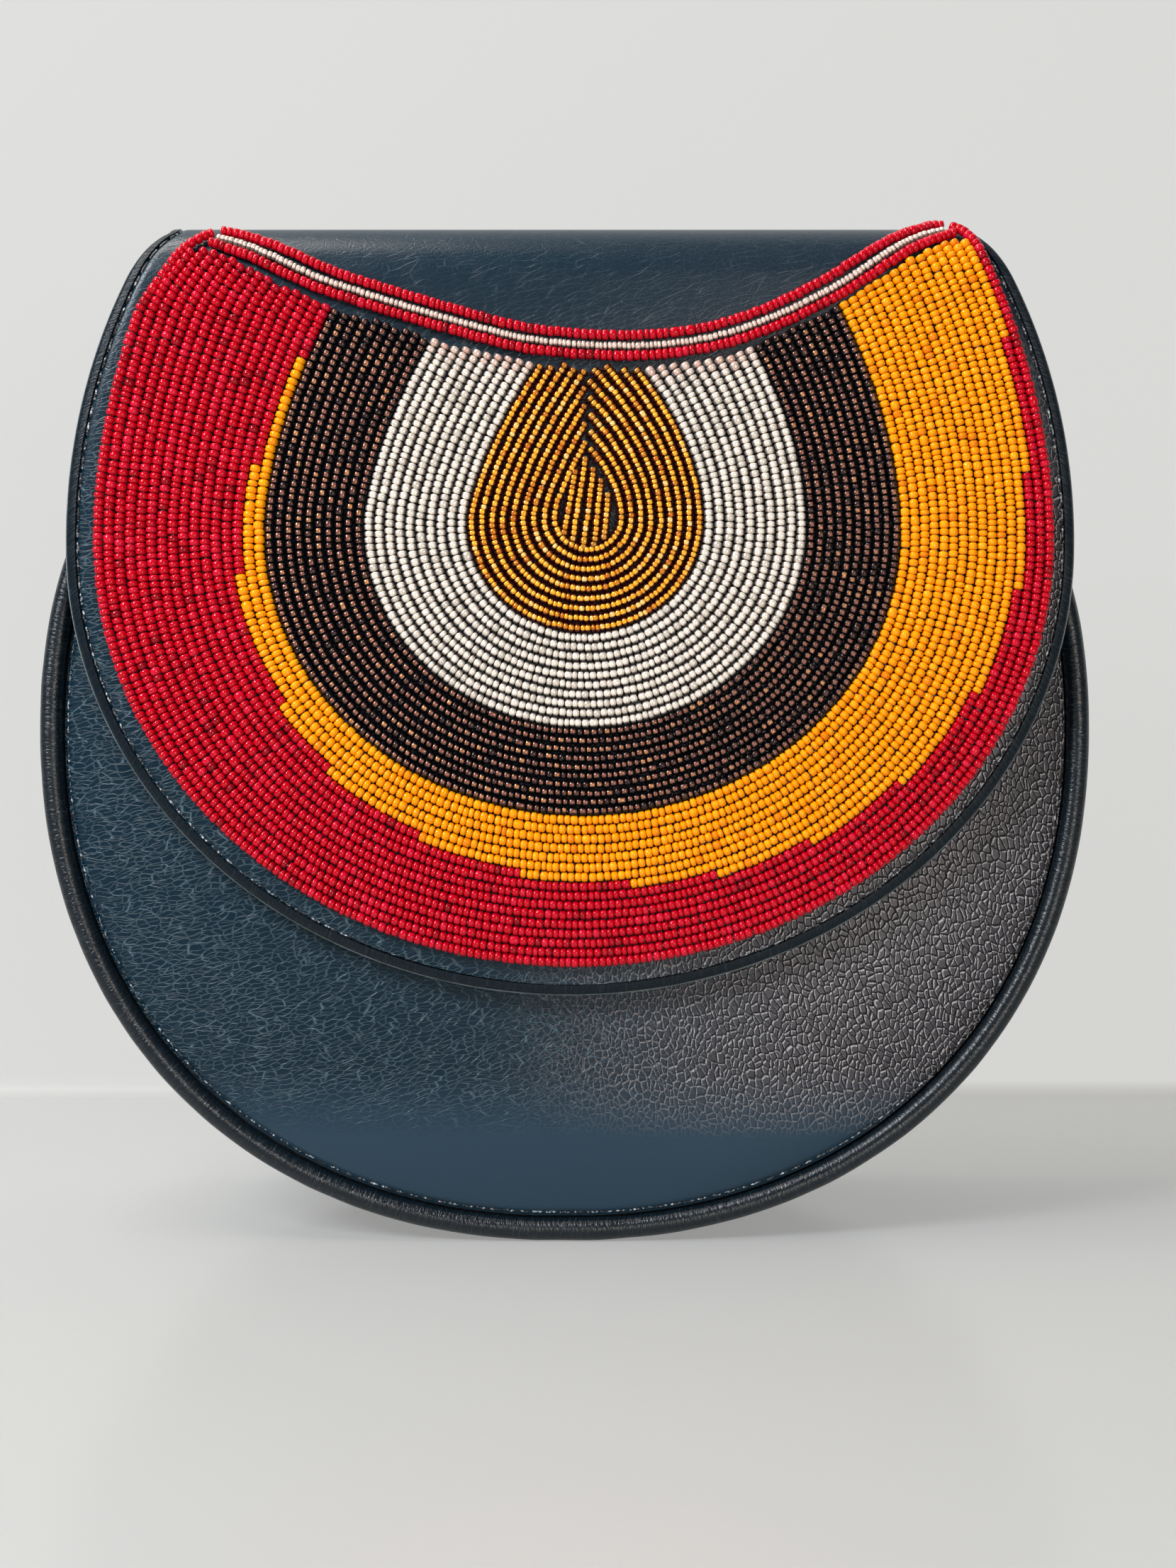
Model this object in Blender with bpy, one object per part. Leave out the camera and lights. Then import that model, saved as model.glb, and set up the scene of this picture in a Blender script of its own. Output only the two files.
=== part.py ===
"""Round crossbody bag with a beaded flap.

The body is a front and a back panel joined by a gusset, with a piped seam at each side. The flap is sewn to
the back, goes over the top and hangs down the front, where it carries rows of beads in nested loops under a
neckline. Units are metres. +X is to the right as seen from the front, +Y goes to the back and +Z is up. The
origin is on the floor, under the middle of the bag.
"""
import math

import bmesh
import bpy
from mathutils import Vector

MM = 0.001

# Clearances
TOUCH_GAP = 0.3 * MM
CUTTER_OVERRUN = 4.0 * MM

# Sheet materials
LEATHER_THICKNESS = 1.4 * MM
BOARD_THICKNESS = 1.0 * MM
FLAP_BOARD_THICKNESS = 0.8 * MM
LINING_THICKNESS = 0.6 * MM
TRIM_THICKNESS = 1.0 * MM

# Round body, seen from the front
BODY_HALF_WIDTH = 110.0 * MM
BODY_LOWER_REACH = 108.8 * MM
BODY_UPPER_REACH = 102.5 * MM
BODY_ROUNDNESS = 2.17
FOOT_HALF_WIDTH = 21.0 * MM
MOUTH_HEIGHT = 160.0 * MM
BACK_TOP_DROP = 13.3 * MM
BACK_TOP_HALF_WIDTH = 85.0 * MM

# Depth of the body, seen from the side
BODY_MIDDLE_Y = 4.5 * MM
BASE_HALF_DEPTH = 29.0 * MM
MOUTH_HALF_DEPTH = 23.0 * MM
FRONT_BULGE = 5.0 * MM
BULGE_ROUNDNESS = 4

# Seams and edges of the body
PIPING_RADIUS = 2.4 * MM
GUSSET_SIDE_DROP = 1.6 * MM
LINING_INSET = 4.2 * MM
BINDING_LEG = 8.0 * MM
BINDING_GAP = 0.45 * MM
FACING_HEIGHT = 18.0 * MM

# Flap, seen from the front; its pattern is measured along the leather from the tip
FLAP_CENTRE_X = 1.2 * MM
FLAP_HALF_WIDTH = 103.6 * MM
FLAP_LOWER_REACH = 92.3 * MM
FLAP_UPPER_REACH = 113.0 * MM
FLAP_TOP_HALF_WIDTH = 83.5 * MM
FLAP_TIP_HEIGHT = 52.5 * MM
FLAP_TIP_HALF_WIDTH = 7.0 * MM
FLAP_TOP_HEIGHT = 211.3 * MM
FLAP_FRONT_ROLL = 12.0 * MM
FLAP_BACK_ROLL = 10.0 * MM
FLAP_EDGE_CURL = 2.0 * MM
FLAP_BINDING_WIDTH = 2.0 * MM
FLAP_BINDING_ROUNDING = 0.8 * MM
FLAP_BOARD_INSET = 6.0 * MM
FLAP_LINING_SETBACK = 3.0 * MM
HINGE_DROP = 14.0 * MM
ANCHOR_HEIGHT = 30.0 * MM

# Beads: every row is a loop, open at the top, whose two ends reach the neckline
BEAD_DIAMETER = 2.1 * MM
ROW_RELIEF = 0.8 * MM
NECKLINE_LOWEST_X = 17.0 * MM
NECKLINE_LOWEST = 132.4 * MM
NECKLINE_LEFT_CURVE = 48.0 * MM
NECKLINE_LEFT_SLOPE = 0.588
NECKLINE_RIGHT_CURVE = 26.8 * MM
NECKLINE_RIGHT_SLOPE = 0.732
NECKLINE_LEFT_END = -71.0 * MM
NECKLINE_RIGHT_END = 77.2 * MM
NECKLINE_SPACING = 2.4 * MM
NECKLINE_MARGIN = 1.4 * MM
LOOP_LEFT_SPREAD = 6.1 * MM
LOOP_RIGHT_SPREAD = 4.1 * MM
LOOP_LEFT_SLOPE = 1.66
LOOP_RIGHT_SLOPE = 1.64
LOOP_LEFT_POWER = 1.31
LOOP_LEFT_POWER_WIDTH = 167.0 * MM
LOOP_RIGHT_POWER = 1.88
LOOP_TURN = 5.0 * MM
LOOP_AXIS_GAP = 0.6 * MM
INNER_LOOP_LEFT = -0.9 * MM
INNER_LOOP_RIGHT = 10.75 * MM
INNER_LOOP_BOTTOM = 92.0 * MM
INNER_LOOP_WIDEST = 97.8 * MM
OUTER_LOOP_WIDEST = 93.0 * MM
GOLD_ROWS, GOLD_PITCH = 9, (2.10 * MM, 1.97 * MM, 1.99 * MM)
SILVER_ROWS, SILVER_PITCH = 10, (2.09 * MM, 2.08 * MM, 1.92 * MM)
BROWN_ROWS, BROWN_PITCH = 10, (2.02 * MM, 1.91 * MM, 1.78 * MM)
OUTER_ROWS, OUTER_PITCH = 16, (2.20 * MM, 1.975 * MM, 1.93 * MM)
ROLL_BEAD_SHARE = 0.67
YELLOW_START_SHARE = 0.045
YELLOW_END_SHARE = 0.96
CENTRE_END_SHARE = 0.12

# Magnetic snap behind the flap
SNAP_FROM_TIP = 30.0 * MM
SNAP_RADIUS = 7.0 * MM
SOCKET_HEIGHT = 1.3 * MM
SOCKET_RECESS_RADIUS = 3.6 * MM
SOCKET_RECESS_DEPTH = 0.9 * MM
STUD_HEIGHT = 0.7 * MM
STUD_BOSS_RADIUS = 2.6 * MM
STUD_BOSS_HEIGHT = 0.6 * MM
POST_RADIUS = 1.4 * MM
WASHER_RADIUS = 5.0 * MM
WASHER_THICKNESS = 0.8 * MM

# Strap rings on the ends of the gusset
RING_WIRE_RADIUS = 1.5 * MM
RING_HALF_WIDTH = 11.5 * MM
RING_REACH = 18.0 * MM
RING_ARM = 3.0 * MM
RING_BAR_RISE = 6.0 * MM
RING_REST_ANGLE = math.radians(28.0)
TAB_THICKNESS = 1.2 * MM
TAB_HALF_WIDTH = 9.0 * MM
TAB_LENGTH = 13.0 * MM
RIVET_DROP = 7.0 * MM
RIVET_HEAD_RADIUS = 3.0 * MM
RIVET_HEAD_HEIGHT = 1.0 * MM
RIVET_SHANK_RADIUS = 1.3 * MM

# How finely the shapes are divided
PANEL_ROWS = 12
BACK_RISE_ROWS = 2
SIDE_STEPS = 18
PANEL_COLUMN_SHARES = (-1.0, -0.9, -0.7, -0.4, 0.0, 0.4, 0.7, 0.9, 1.0)
BACK_COLUMN_SHARES = (-1.0, -0.5, 0.0, 0.5, 1.0)
GUSSET_COLUMN_SHARES = (-1.0, -0.55, 0.55, 1.0)
GUSSET_FLAT_SHARE = 0.6
FLAP_COLUMN_SHARES = (-1.0, -0.85, -0.6, -0.3, 0.0, 0.3, 0.6, 0.85, 1.0)
FLAP_TIP_STEPS = 8
FLAP_FRONT_STEPS = 4
FLAP_ROLL_STEPS = 4
LOOP_STEPS = 30
NECKLINE_STEPS = 26
PIPING_SIDES = 8
WIRE_SIDES = 6
ROUND_SIDES = 14
RING_BOW_STEPS = 12
TAB_TURN_STEPS = 4
SEARCH_STEPS = 40

# Places that follow from the sizes above
BACK_TOP_HEIGHT = FLAP_TOP_HEIGHT - BACK_TOP_DROP
HINGE_HEIGHT = FLAP_TOP_HEIGHT - HINGE_DROP
PANEL_INSET = 2.0 * PIPING_RADIUS + TOUCH_GAP
BOARD_DEPTH = LEATHER_THICKNESS + TOUCH_GAP
LINING_DEPTH = BOARD_DEPTH + BOARD_THICKNESS + TOUCH_GAP
PANEL_STACK = LINING_DEPTH + LINING_THICKNESS
FLAP_BOARD_DEPTH = LEATHER_THICKNESS + TOUCH_GAP
FLAP_LINING_DEPTH = FLAP_BOARD_DEPTH + FLAP_BOARD_THICKNESS + TOUCH_GAP
FLAP_STACK = FLAP_LINING_DEPTH + LINING_THICKNESS
FOOT_SHARE = (1.0 - (FOOT_HALF_WIDTH / BODY_HALF_WIDTH) ** BODY_ROUNDNESS) ** (1.0 / BODY_ROUNDNESS)
WIDEST_HEIGHT = BODY_LOWER_REACH * FOOT_SHARE
LEAN = (BASE_HALF_DEPTH - MOUTH_HALF_DEPTH) / MOUTH_HEIGHT
LEAN_ANGLE = math.atan(LEAN)


def lerp(low, high, share):
    """Value at a share of the way from low to high."""
    return low + (high - low) * share


def limited(value, low, high):
    """Value, kept between low and high."""
    return max(low, min(high, value))


# Materials

def make_material(name, color, roughness, metallic=0.0):
    """Principled material with one colour."""
    material = bpy.data.materials.new(name)
    material.use_nodes = True
    shader = material.node_tree.nodes["Principled BSDF"]
    shader.inputs["Base Color"].default_value = (*color, 1.0)
    shader.inputs["Roughness"].default_value = roughness
    shader.inputs["Metallic"].default_value = metallic
    return material


# Mesh helpers

def add_object(name, mesh_builder, material):
    """Turn a bmesh into a named object whose faces point out."""
    bmesh.ops.recalc_face_normals(mesh_builder, faces=mesh_builder.faces)
    mesh = bpy.data.meshes.new(name)
    mesh_builder.to_mesh(mesh)
    mesh_builder.free()
    mesh.shade_smooth()
    mesh.set_sharp_from_angle(angle=math.radians(35.0))
    mesh.materials.append(material)
    solid = bpy.data.objects.new(name, mesh)
    bpy.context.scene.collection.objects.link(solid)
    return solid


def sheet_solid(name, front_rows, back_rows, material):
    """Closed sheet between two grids of points with the same rows and columns."""
    builder = bmesh.new()
    front = [[builder.verts.new(point) for point in row] for row in front_rows]
    back = [[builder.verts.new(point) for point in row] for row in back_rows]
    last_row, last_column = len(front) - 1, len(front[0]) - 1
    for row in range(last_row):
        for column in range(last_column):
            for grid in (front, back):
                builder.faces.new((grid[row][column], grid[row][column + 1],
                                   grid[row + 1][column + 1], grid[row + 1][column]))
    for row in range(last_row):
        for column in (0, last_column):
            builder.faces.new((front[row][column], front[row + 1][column],
                               back[row + 1][column], back[row][column]))
    for column in range(last_column):
        for row in (0, last_row):
            builder.faces.new((front[row][column], front[row][column + 1],
                               back[row][column + 1], back[row][column]))
    return add_object(name, builder, material)


def loop_solid(name, loops, material, cyclic=False):
    """Closed solid skinned over a row of closed loops; the two end loops are capped unless it is cyclic."""
    builder = bmesh.new()
    rings = [[builder.verts.new(point) for point in loop] for loop in loops]
    count = len(rings[0])
    pairs = list(zip(rings, rings[1:]))
    if cyclic:
        pairs.append((rings[-1], rings[0]))
    else:
        builder.faces.new(rings[0])
        builder.faces.new(rings[-1])
    for ring, after in pairs:
        for index in range(count):
            other = (index + 1) % count
            builder.faces.new((ring[index], ring[other], after[other], after[index]))
    return add_object(name, builder, material)


def turned_solid(name, origin, axis, profile, material, ring=False):
    """Solid of revolution about an axis, from a profile of (radius, distance along the axis)."""
    side = axis.orthogonal().normalized()
    up = axis.cross(side)
    loops = []
    for radius, along in profile:
        loop = []
        for step in range(ROUND_SIDES):
            angle = math.tau * step / ROUND_SIDES
            loop.append(origin + axis * along + radius * (side * math.cos(angle) + up * math.sin(angle)))
        loops.append(loop)
    return loop_solid(name, loops, material, cyclic=ring)


def mitred_sections(path, radius, sides, closed=False):
    """The (u, v, w) points of a tube's loops along a flat (u, v) path, with flat facets facing sideways."""
    corner_radius = radius / math.cos(math.pi / sides)
    sections = []
    last = len(path) - 1
    for index, point in enumerate(path):
        before = path[index - 1] if index or closed else None
        after = path[(index + 1) % len(path)] if index < last or closed else None
        into = (point - before).normalized() if before is not None else None
        out = (after - point).normalized() if after is not None else None
        into = into if into is not None else out
        out = out if out is not None else into
        along = (into + out).normalized()
        stretch = 1.0 / along.dot(out)
        normal = Vector((along.y, -along.x)) * stretch
        loop = []
        for side in range(sides):
            angle = math.tau * (side + 0.5) / sides
            spot = point + normal * corner_radius * math.cos(angle)
            loop.append((spot.x, spot.y, corner_radius * math.sin(angle)))
        sections.append(loop)
    return sections


def cut_round_hole(solid, centre, axis, radius, half_length):
    """Boolean a round hole through a solid."""
    builder = bmesh.new()
    bmesh.ops.create_cone(builder, cap_ends=True, segments=ROUND_SIDES, radius1=radius, radius2=radius,
                          depth=2.0 * half_length)
    turn = Vector((0.0, 0.0, 1.0)).rotation_difference(axis).to_matrix()
    for vertex in builder.verts:
        vertex.co = centre + turn @ vertex.co
    cutter = add_object(solid.name + "_cutter", builder, solid.data.materials[0])
    cutter.hide_render = True
    cutter.display_type = "WIRE"
    modifier = solid.modifiers.new("hole", "BOOLEAN")
    modifier.operation = "DIFFERENCE"
    modifier.object = cutter


# Shape of the body

def half_width_at(height, inset):
    """Half width of the round body at a height, for a skin that lies inset inside its outermost line."""
    reach = (BODY_LOWER_REACH if height < WIDEST_HEIGHT else BODY_UPPER_REACH) - inset
    share = min(abs(height - WIDEST_HEIGHT) / reach, 1.0)
    return (BODY_HALF_WIDTH - inset) * (1.0 - share ** BODY_ROUNDNESS) ** (1.0 / BODY_ROUNDNESS)


def side_heights(bottom, top, inset, steps):
    """Heights up the round side, closer together where it turns under."""
    lower, upper = BODY_LOWER_REACH - inset, BODY_UPPER_REACH - inset
    first = math.asin(limited((bottom - WIDEST_HEIGHT) / lower, -1.0, 1.0))
    last = math.asin(limited((top - WIDEST_HEIGHT) / upper, -1.0, 1.0))
    heights = []
    for step in range(steps + 1):
        angle = lerp(first, last, step / steps)
        heights.append(WIDEST_HEIGHT + (lower if angle < 0 else upper) * math.sin(angle))
    return heights


def side_path(inset, top=MOUTH_HEIGHT):
    """(x, z) points from the right end of the mouth down, along the foot and up to the left end."""
    right = [(half_width_at(height, inset), height) for height in side_heights(inset, top, inset, SIDE_STEPS)]
    return right[::-1] + [(-x, z) for x, z in right]


def half_depth_at(height):
    """Half of the body's depth between its two seams."""
    return BASE_HALF_DEPTH - LEAN * height


def seam_y(height, side):
    """Y of the front seam (side -1) or the back seam (side 1)."""
    return BODY_MIDDLE_Y + side * half_depth_at(height)


def panel_half_width(height, inset):
    """Half width of a panel; above the mouth only the back panel goes on, with straight sides."""
    if height <= MOUTH_HEIGHT:
        return half_width_at(height, inset)
    share = (height - MOUTH_HEIGHT) / (BACK_TOP_HEIGHT - MOUTH_HEIGHT)
    top = BACK_TOP_HALF_WIDTH - inset + PANEL_INSET
    return lerp(half_width_at(MOUTH_HEIGHT, inset), top, share)


def panel_point(column, height, depth, inset, side):
    """Point on a panel: column is a share of its half width, depth goes from its outer face into the bag."""
    x = column * panel_half_width(height, inset)
    span = 0.5 * (MOUTH_HEIGHT - PANEL_INSET)
    level = min(abs(height - PANEL_INSET - span) / span, 1.0)
    aside = min(abs(x) / panel_half_width(max(height, PANEL_INSET), PANEL_INSET), 1.0)
    bulge = (1.0 - aside ** BULGE_ROUNDNESS) * (1.0 - level ** BULGE_ROUNDNESS)
    out = 0.5 * LEATHER_THICKNESS - depth + (FRONT_BULGE * bulge if side < 0 else 0.0)
    return Vector((x, seam_y(height, side) + side * out, height))


def panel_rows(depth, inset, side, top, columns):
    """Grid of points over a whole panel at one depth."""
    heights = side_heights(inset, MOUTH_HEIGHT - BINDING_LEG, inset, PANEL_ROWS) + [MOUTH_HEIGHT]
    if top > MOUTH_HEIGHT:
        heights += [lerp(MOUTH_HEIGHT, top, (step + 1) / BACK_RISE_ROWS) for step in range(BACK_RISE_ROWS)]
    return [[panel_point(column, height, depth, inset, side) for column in columns] for height in heights]


def make_panel_layer(name, depth, thickness, inset, side, top, material):
    """One layer of the front or the back: leather, board or lining."""
    columns = PANEL_COLUMN_SHARES if side < 0 else BACK_COLUMN_SHARES
    outer = panel_rows(depth, inset, side, top, columns)
    inner = panel_rows(depth + thickness, inset, side, top, columns)
    return sheet_solid(name, outer, inner, material)


def gusset_rows(depth, edge_gap):
    """Grid of points round the gusset; it drops a little beside the piped seams."""
    rows = []
    drops = [0.0 if abs(share) < GUSSET_FLAT_SHARE else GUSSET_SIDE_DROP for share in GUSSET_COLUMN_SHARES]
    paths = [side_path(drop + depth) for drop in drops]
    for spots in zip(*paths):
        row = []
        for share, (x, z) in zip(GUSSET_COLUMN_SHARES, spots):
            row.append(Vector((x, BODY_MIDDLE_Y + share * (half_depth_at(z) - edge_gap), z)))
        rows.append(row)
    return rows


def make_gusset(name, depth, thickness, edge_gap, material):
    """Gusset leather or its lining."""
    return sheet_solid(name, gusset_rows(depth, edge_gap), gusset_rows(depth + thickness, edge_gap), material)


def make_piping(name, side, material):
    """Piped seam round the front or the back, flat where it stands."""
    path = [Vector(spot) for spot in side_path(PIPING_RADIUS)]
    loops = []
    for section in mitred_sections(path, PIPING_RADIUS, PIPING_SIDES):
        loops.append([Vector((u, seam_y(v, side) + w, v)) for u, v, w in section])
    return loop_solid(name, loops, material)


def make_mouth_binding(material):
    """Leather binding folded over the top edge of the front."""
    low, high = MOUTH_HEIGHT - BINDING_LEG, MOUTH_HEIGHT + TOUCH_GAP
    loops = []
    for column in PANEL_COLUMN_SHARES:
        front = [panel_point(column, height, 0.0, PANEL_INSET, -1) for height in (low, MOUTH_HEIGHT)]
        back = [panel_point(column, height, PANEL_STACK, LINING_INSET, -1) for height in (low, MOUTH_HEIGHT)]
        near = Vector((0.0, BINDING_GAP, 0.0))
        far = near + Vector((0.0, TRIM_THICKNESS, 0.0))
        rise = Vector((0.0, 0.0, high - MOUTH_HEIGHT))
        cap = rise + Vector((0.0, 0.0, TRIM_THICKNESS))
        loops.append([front[0] - far, front[1] - far + cap, back[1] + far + cap, back[0] + far,
                      back[0] + near, back[1] + near + rise, front[1] - near + rise, front[0] - near])
    return loop_solid("mouth_binding", loops, material)


def make_back_strip(name, depth, thickness, half_width, low, high, material):
    """Straight strip along the top of the back, outside or inside."""
    rows = []
    for face in (depth, depth + thickness):
        grid = []
        for height in (low, high):
            y = seam_y(height, 1) + 0.5 * LEATHER_THICKNESS - face
            grid.append([Vector((share * half_width, y, height)) for share in BACK_COLUMN_SHARES])
        rows.append(grid)
    return sheet_solid(name, rows[0], rows[1], material)


# Shape of the flap

def flap_curl_at(x, along):
    """How far the flap's edges turn towards the body."""
    fall = max(0.0, FLAP_LOWER_REACH - along) / FLAP_LOWER_REACH
    distance = math.hypot((x - FLAP_CENTRE_X) / FLAP_HALF_WIDTH, fall)
    fade = limited((FRONT_LENGTH - along) / (FRONT_LENGTH - FLAP_LOWER_REACH), 0.0, 1.0)
    return FLAP_EDGE_CURL * fade * min(distance, 1.0) ** BULGE_ROUNDNESS


def flap_plane_y(height, standoff):
    """Y of the plane that the flap's face lies in."""
    return seam_y(height, -1) - standoff


ROLL_CENTRE_HEIGHT = FLAP_TOP_HEIGHT - FLAP_FRONT_ROLL
ROLL_START_HEIGHT = ROLL_CENTRE_HEIGHT + FLAP_FRONT_ROLL * math.sin(LEAN_ANGLE)
FRONT_LENGTH = (ROLL_START_HEIGHT - FLAP_TIP_HEIGHT) / math.cos(LEAN_ANGLE)
SNAP_CURL = flap_curl_at(0.0, SNAP_FROM_TIP)
SNAP_SPACE = 3.0 * TOUCH_GAP + SOCKET_HEIGHT + STUD_HEIGHT + SNAP_CURL
FLAP_STANDOFF = 0.5 * LEATHER_THICKNESS + FRONT_BULGE + SNAP_SPACE + FLAP_STACK
ROLL_CENTRE_Y = flap_plane_y(ROLL_START_HEIGHT, FLAP_STANDOFF) + FLAP_FRONT_ROLL * math.cos(LEAN_ANGLE)
HINGE_Y = seam_y(HINGE_HEIGHT, 1) + 0.5 * LEATHER_THICKNESS + TOUCH_GAP + LEATHER_THICKNESS
BACK_ROLL_Y = HINGE_Y - FLAP_BACK_ROLL
ROLL_LENGTH = FLAP_FRONT_ROLL * (0.5 * math.pi - LEAN_ANGLE)
TOP_LENGTH = BACK_ROLL_Y - ROLL_CENTRE_Y
BACK_ROLL_LENGTH = FLAP_BACK_ROLL * 0.5 * math.pi
RISE_LENGTH = FLAP_TOP_HEIGHT - FLAP_BACK_ROLL - HINGE_HEIGHT - 0.5 * TOUCH_GAP
ROLL_END = FRONT_LENGTH + ROLL_LENGTH
TOP_END = ROLL_END + TOP_LENGTH
BACK_ROLL_END = TOP_END + BACK_ROLL_LENGTH
FLAP_LENGTH = BACK_ROLL_END + RISE_LENGTH
BEAD_TOP = FRONT_LENGTH + ROLL_BEAD_SHARE * ROLL_LENGTH


def flap_profile(along):
    """(y, z) of the flap's outer face and its (y, z) normal, at a distance along the leather from the tip."""
    if along <= FRONT_LENGTH:
        below = FRONT_LENGTH - along
        height = ROLL_START_HEIGHT - below * math.cos(LEAN_ANGLE)
        return flap_plane_y(height, FLAP_STANDOFF), height, -math.cos(LEAN_ANGLE), math.sin(LEAN_ANGLE)
    if along <= ROLL_END:
        angle = LEAN_ANGLE + (along - FRONT_LENGTH) / FLAP_FRONT_ROLL
        normal_y, normal_z = -math.cos(angle), math.sin(angle)
        return (ROLL_CENTRE_Y + FLAP_FRONT_ROLL * normal_y, ROLL_CENTRE_HEIGHT + FLAP_FRONT_ROLL * normal_z,
                normal_y, normal_z)
    if along <= TOP_END:
        return ROLL_CENTRE_Y + along - ROLL_END, FLAP_TOP_HEIGHT, 0.0, 1.0
    if along <= BACK_ROLL_END:
        angle = (along - TOP_END) / FLAP_BACK_ROLL
        normal_y, normal_z = math.sin(angle), math.cos(angle)
        return (BACK_ROLL_Y + FLAP_BACK_ROLL * normal_y,
                FLAP_TOP_HEIGHT - FLAP_BACK_ROLL * (1.0 - normal_z), normal_y, normal_z)
    return HINGE_Y, FLAP_TOP_HEIGHT - FLAP_BACK_ROLL - (along - BACK_ROLL_END), 1.0, 0.0


def flap_point(x, along, depth):
    """Point of the flap: depth goes from its outer face inwards, and below zero it is above the leather."""
    y, z, normal_y, normal_z = flap_profile(along)
    inward = depth + flap_curl_at(x, along)
    return Vector((x, y - normal_y * inward, z - normal_z * inward))


def flap_half_width(along, inset):
    """Half width of the flap above its widest line."""
    share = limited((along - FLAP_LOWER_REACH) / FLAP_UPPER_REACH, 0.0, 1.0)
    return max(FLAP_HALF_WIDTH * math.sqrt(1.0 - share * share), FLAP_TOP_HALF_WIDTH) - inset


def flap_upper_levels(end):
    """Distances along the leather from the widest line to a given end."""
    levels = [lerp(FLAP_LOWER_REACH, FRONT_LENGTH, step / FLAP_FRONT_STEPS)
              for step in range(FLAP_FRONT_STEPS + 1)]
    levels += [FRONT_LENGTH + ROLL_LENGTH * (step + 1) / FLAP_ROLL_STEPS for step in range(FLAP_ROLL_STEPS)]
    levels += [TOP_END + BACK_ROLL_LENGTH * step / FLAP_ROLL_STEPS for step in range(FLAP_ROLL_STEPS + 1)]
    levels.append(FLAP_LENGTH)
    return [level for level in levels if level < end] + [end]


def flap_spans(inset, end):
    """(distance along, half width) of each row of a flap layer, from the tip up."""
    width, reach = FLAP_HALF_WIDTH - inset, FLAP_LOWER_REACH - inset
    first = math.asin(FLAP_TIP_HALF_WIDTH / width)
    spans = []
    for step in range(FLAP_TIP_STEPS):
        angle = lerp(first, 0.5 * math.pi, step / FLAP_TIP_STEPS)
        spans.append((FLAP_LOWER_REACH - reach * math.cos(angle), width * math.sin(angle)))
    return spans + [(level, flap_half_width(level, inset)) for level in flap_upper_levels(end)]


def make_flap_layer(name, depth, thickness, inset, end, material):
    """One layer of the flap: leather, board or lining."""
    grids = []
    for face in (depth, depth + thickness):
        grid = []
        for along, half_width in flap_spans(inset, end):
            xs = [FLAP_CENTRE_X + share * half_width for share in FLAP_COLUMN_SHARES]
            grid.append([flap_point(x, along, face) for x in xs])
        grids.append(grid)
    return sheet_solid(name, grids[0], grids[1], material)


def flap_edge(inset):
    """(x, distance along) points round the flap's edge, from the left end at the hinge round the tip."""
    right = flap_spans(inset, FLAP_LENGTH - FLAP_LINING_SETBACK)
    left = [(FLAP_CENTRE_X - half_width, along) for along, half_width in reversed(right)]
    return left + [(FLAP_CENTRE_X + half_width, along) for along, half_width in right]


def make_flap_binding(material):
    """Rolled leather edge round the flap, outside its three layers."""
    outer, inner = flap_edge(0.0), flap_edge(FLAP_BINDING_WIDTH)
    loops = []
    for (x_out, along_out), (x_in, along_in) in zip(outer, inner):
        loops.append([flap_point(x_in, along_in, 0.0),
                      flap_point(x_out, along_out, FLAP_BINDING_ROUNDING),
                      flap_point(x_out, along_out, FLAP_STACK - FLAP_BINDING_ROUNDING),
                      flap_point(x_in, along_in, FLAP_STACK)])
    return loop_solid("flap_binding", loops, material)


# Beads on the flap

def neckline_arm(x):
    """Curve and slope of the neckline's left or right arm."""
    if x < NECKLINE_LOWEST_X:
        return NECKLINE_LEFT_CURVE, NECKLINE_LEFT_SLOPE
    return NECKLINE_RIGHT_CURVE, NECKLINE_RIGHT_SLOPE


def neckline_height(x):
    """Distance along the leather of the neckline's middle row: a smooth valley, steeper at the right."""
    curve, slope = neckline_arm(x)
    return NECKLINE_LOWEST + math.hypot(curve, slope * (x - NECKLINE_LOWEST_X)) - curve


def make_neckline_row(name, offset, material):
    """One row of beads along the neckline, as a tube."""
    radius = 0.5 * BEAD_DIAMETER
    path = []
    for step in range(NECKLINE_STEPS + 1):
        x = lerp(NECKLINE_LEFT_END, NECKLINE_RIGHT_END, step / NECKLINE_STEPS)
        curve, slope = neckline_arm(x)
        rise = slope * slope * (x - NECKLINE_LOWEST_X) / (neckline_height(x) - NECKLINE_LOWEST + curve)
        normal = Vector((-rise, 1.0)).normalized()
        path.append(Vector((x, neckline_height(x))) + normal * offset)
    lift = TOUCH_GAP + radius
    loops = []
    for section in mitred_sections(path, radius, WIRE_SIDES):
        loops.append([flap_point(u, v, -(lift + w)) for u, v, w in section])
    return loop_solid(name, loops, material)


def loop_upper_reach(half_width, right):
    """How far a loop of beads rises above its widest line on one side."""
    turn = 1.0 - math.exp(-half_width / LOOP_TURN)
    if right:
        return LOOP_RIGHT_SPREAD * turn + LOOP_RIGHT_SLOPE * half_width
    return LOOP_LEFT_SPREAD * turn + LOOP_LEFT_SLOPE * half_width


def loop_power(half_width, right):
    """How full the arch of a loop is above its widest line on one side."""
    return LOOP_RIGHT_POWER if right else LOOP_LEFT_POWER + half_width / LOOP_LEFT_POWER_WIDTH


def loop_point(line, angle):
    """(x, distance along) on a loop of beads: angle 0 is its left side and a quarter turn its lowest point.

    Below its widest line a loop is an ellipse, and above it is a pointed arch.
    """
    left, right, bottom, widest = line
    half_width = 0.5 * (right - left)
    if 0.0 <= angle <= math.pi:
        x = 0.5 * (left + right) - half_width * math.cos(angle)
        return x, widest - (widest - bottom) * math.sin(angle)
    on_right = angle > math.pi
    share = -math.sin(angle)
    aside = half_width * (1.0 - share ** loop_power(half_width, on_right))
    x = 0.5 * (left + right) + (aside if on_right else -aside)
    return x, widest + loop_upper_reach(half_width, on_right) * share


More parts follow.
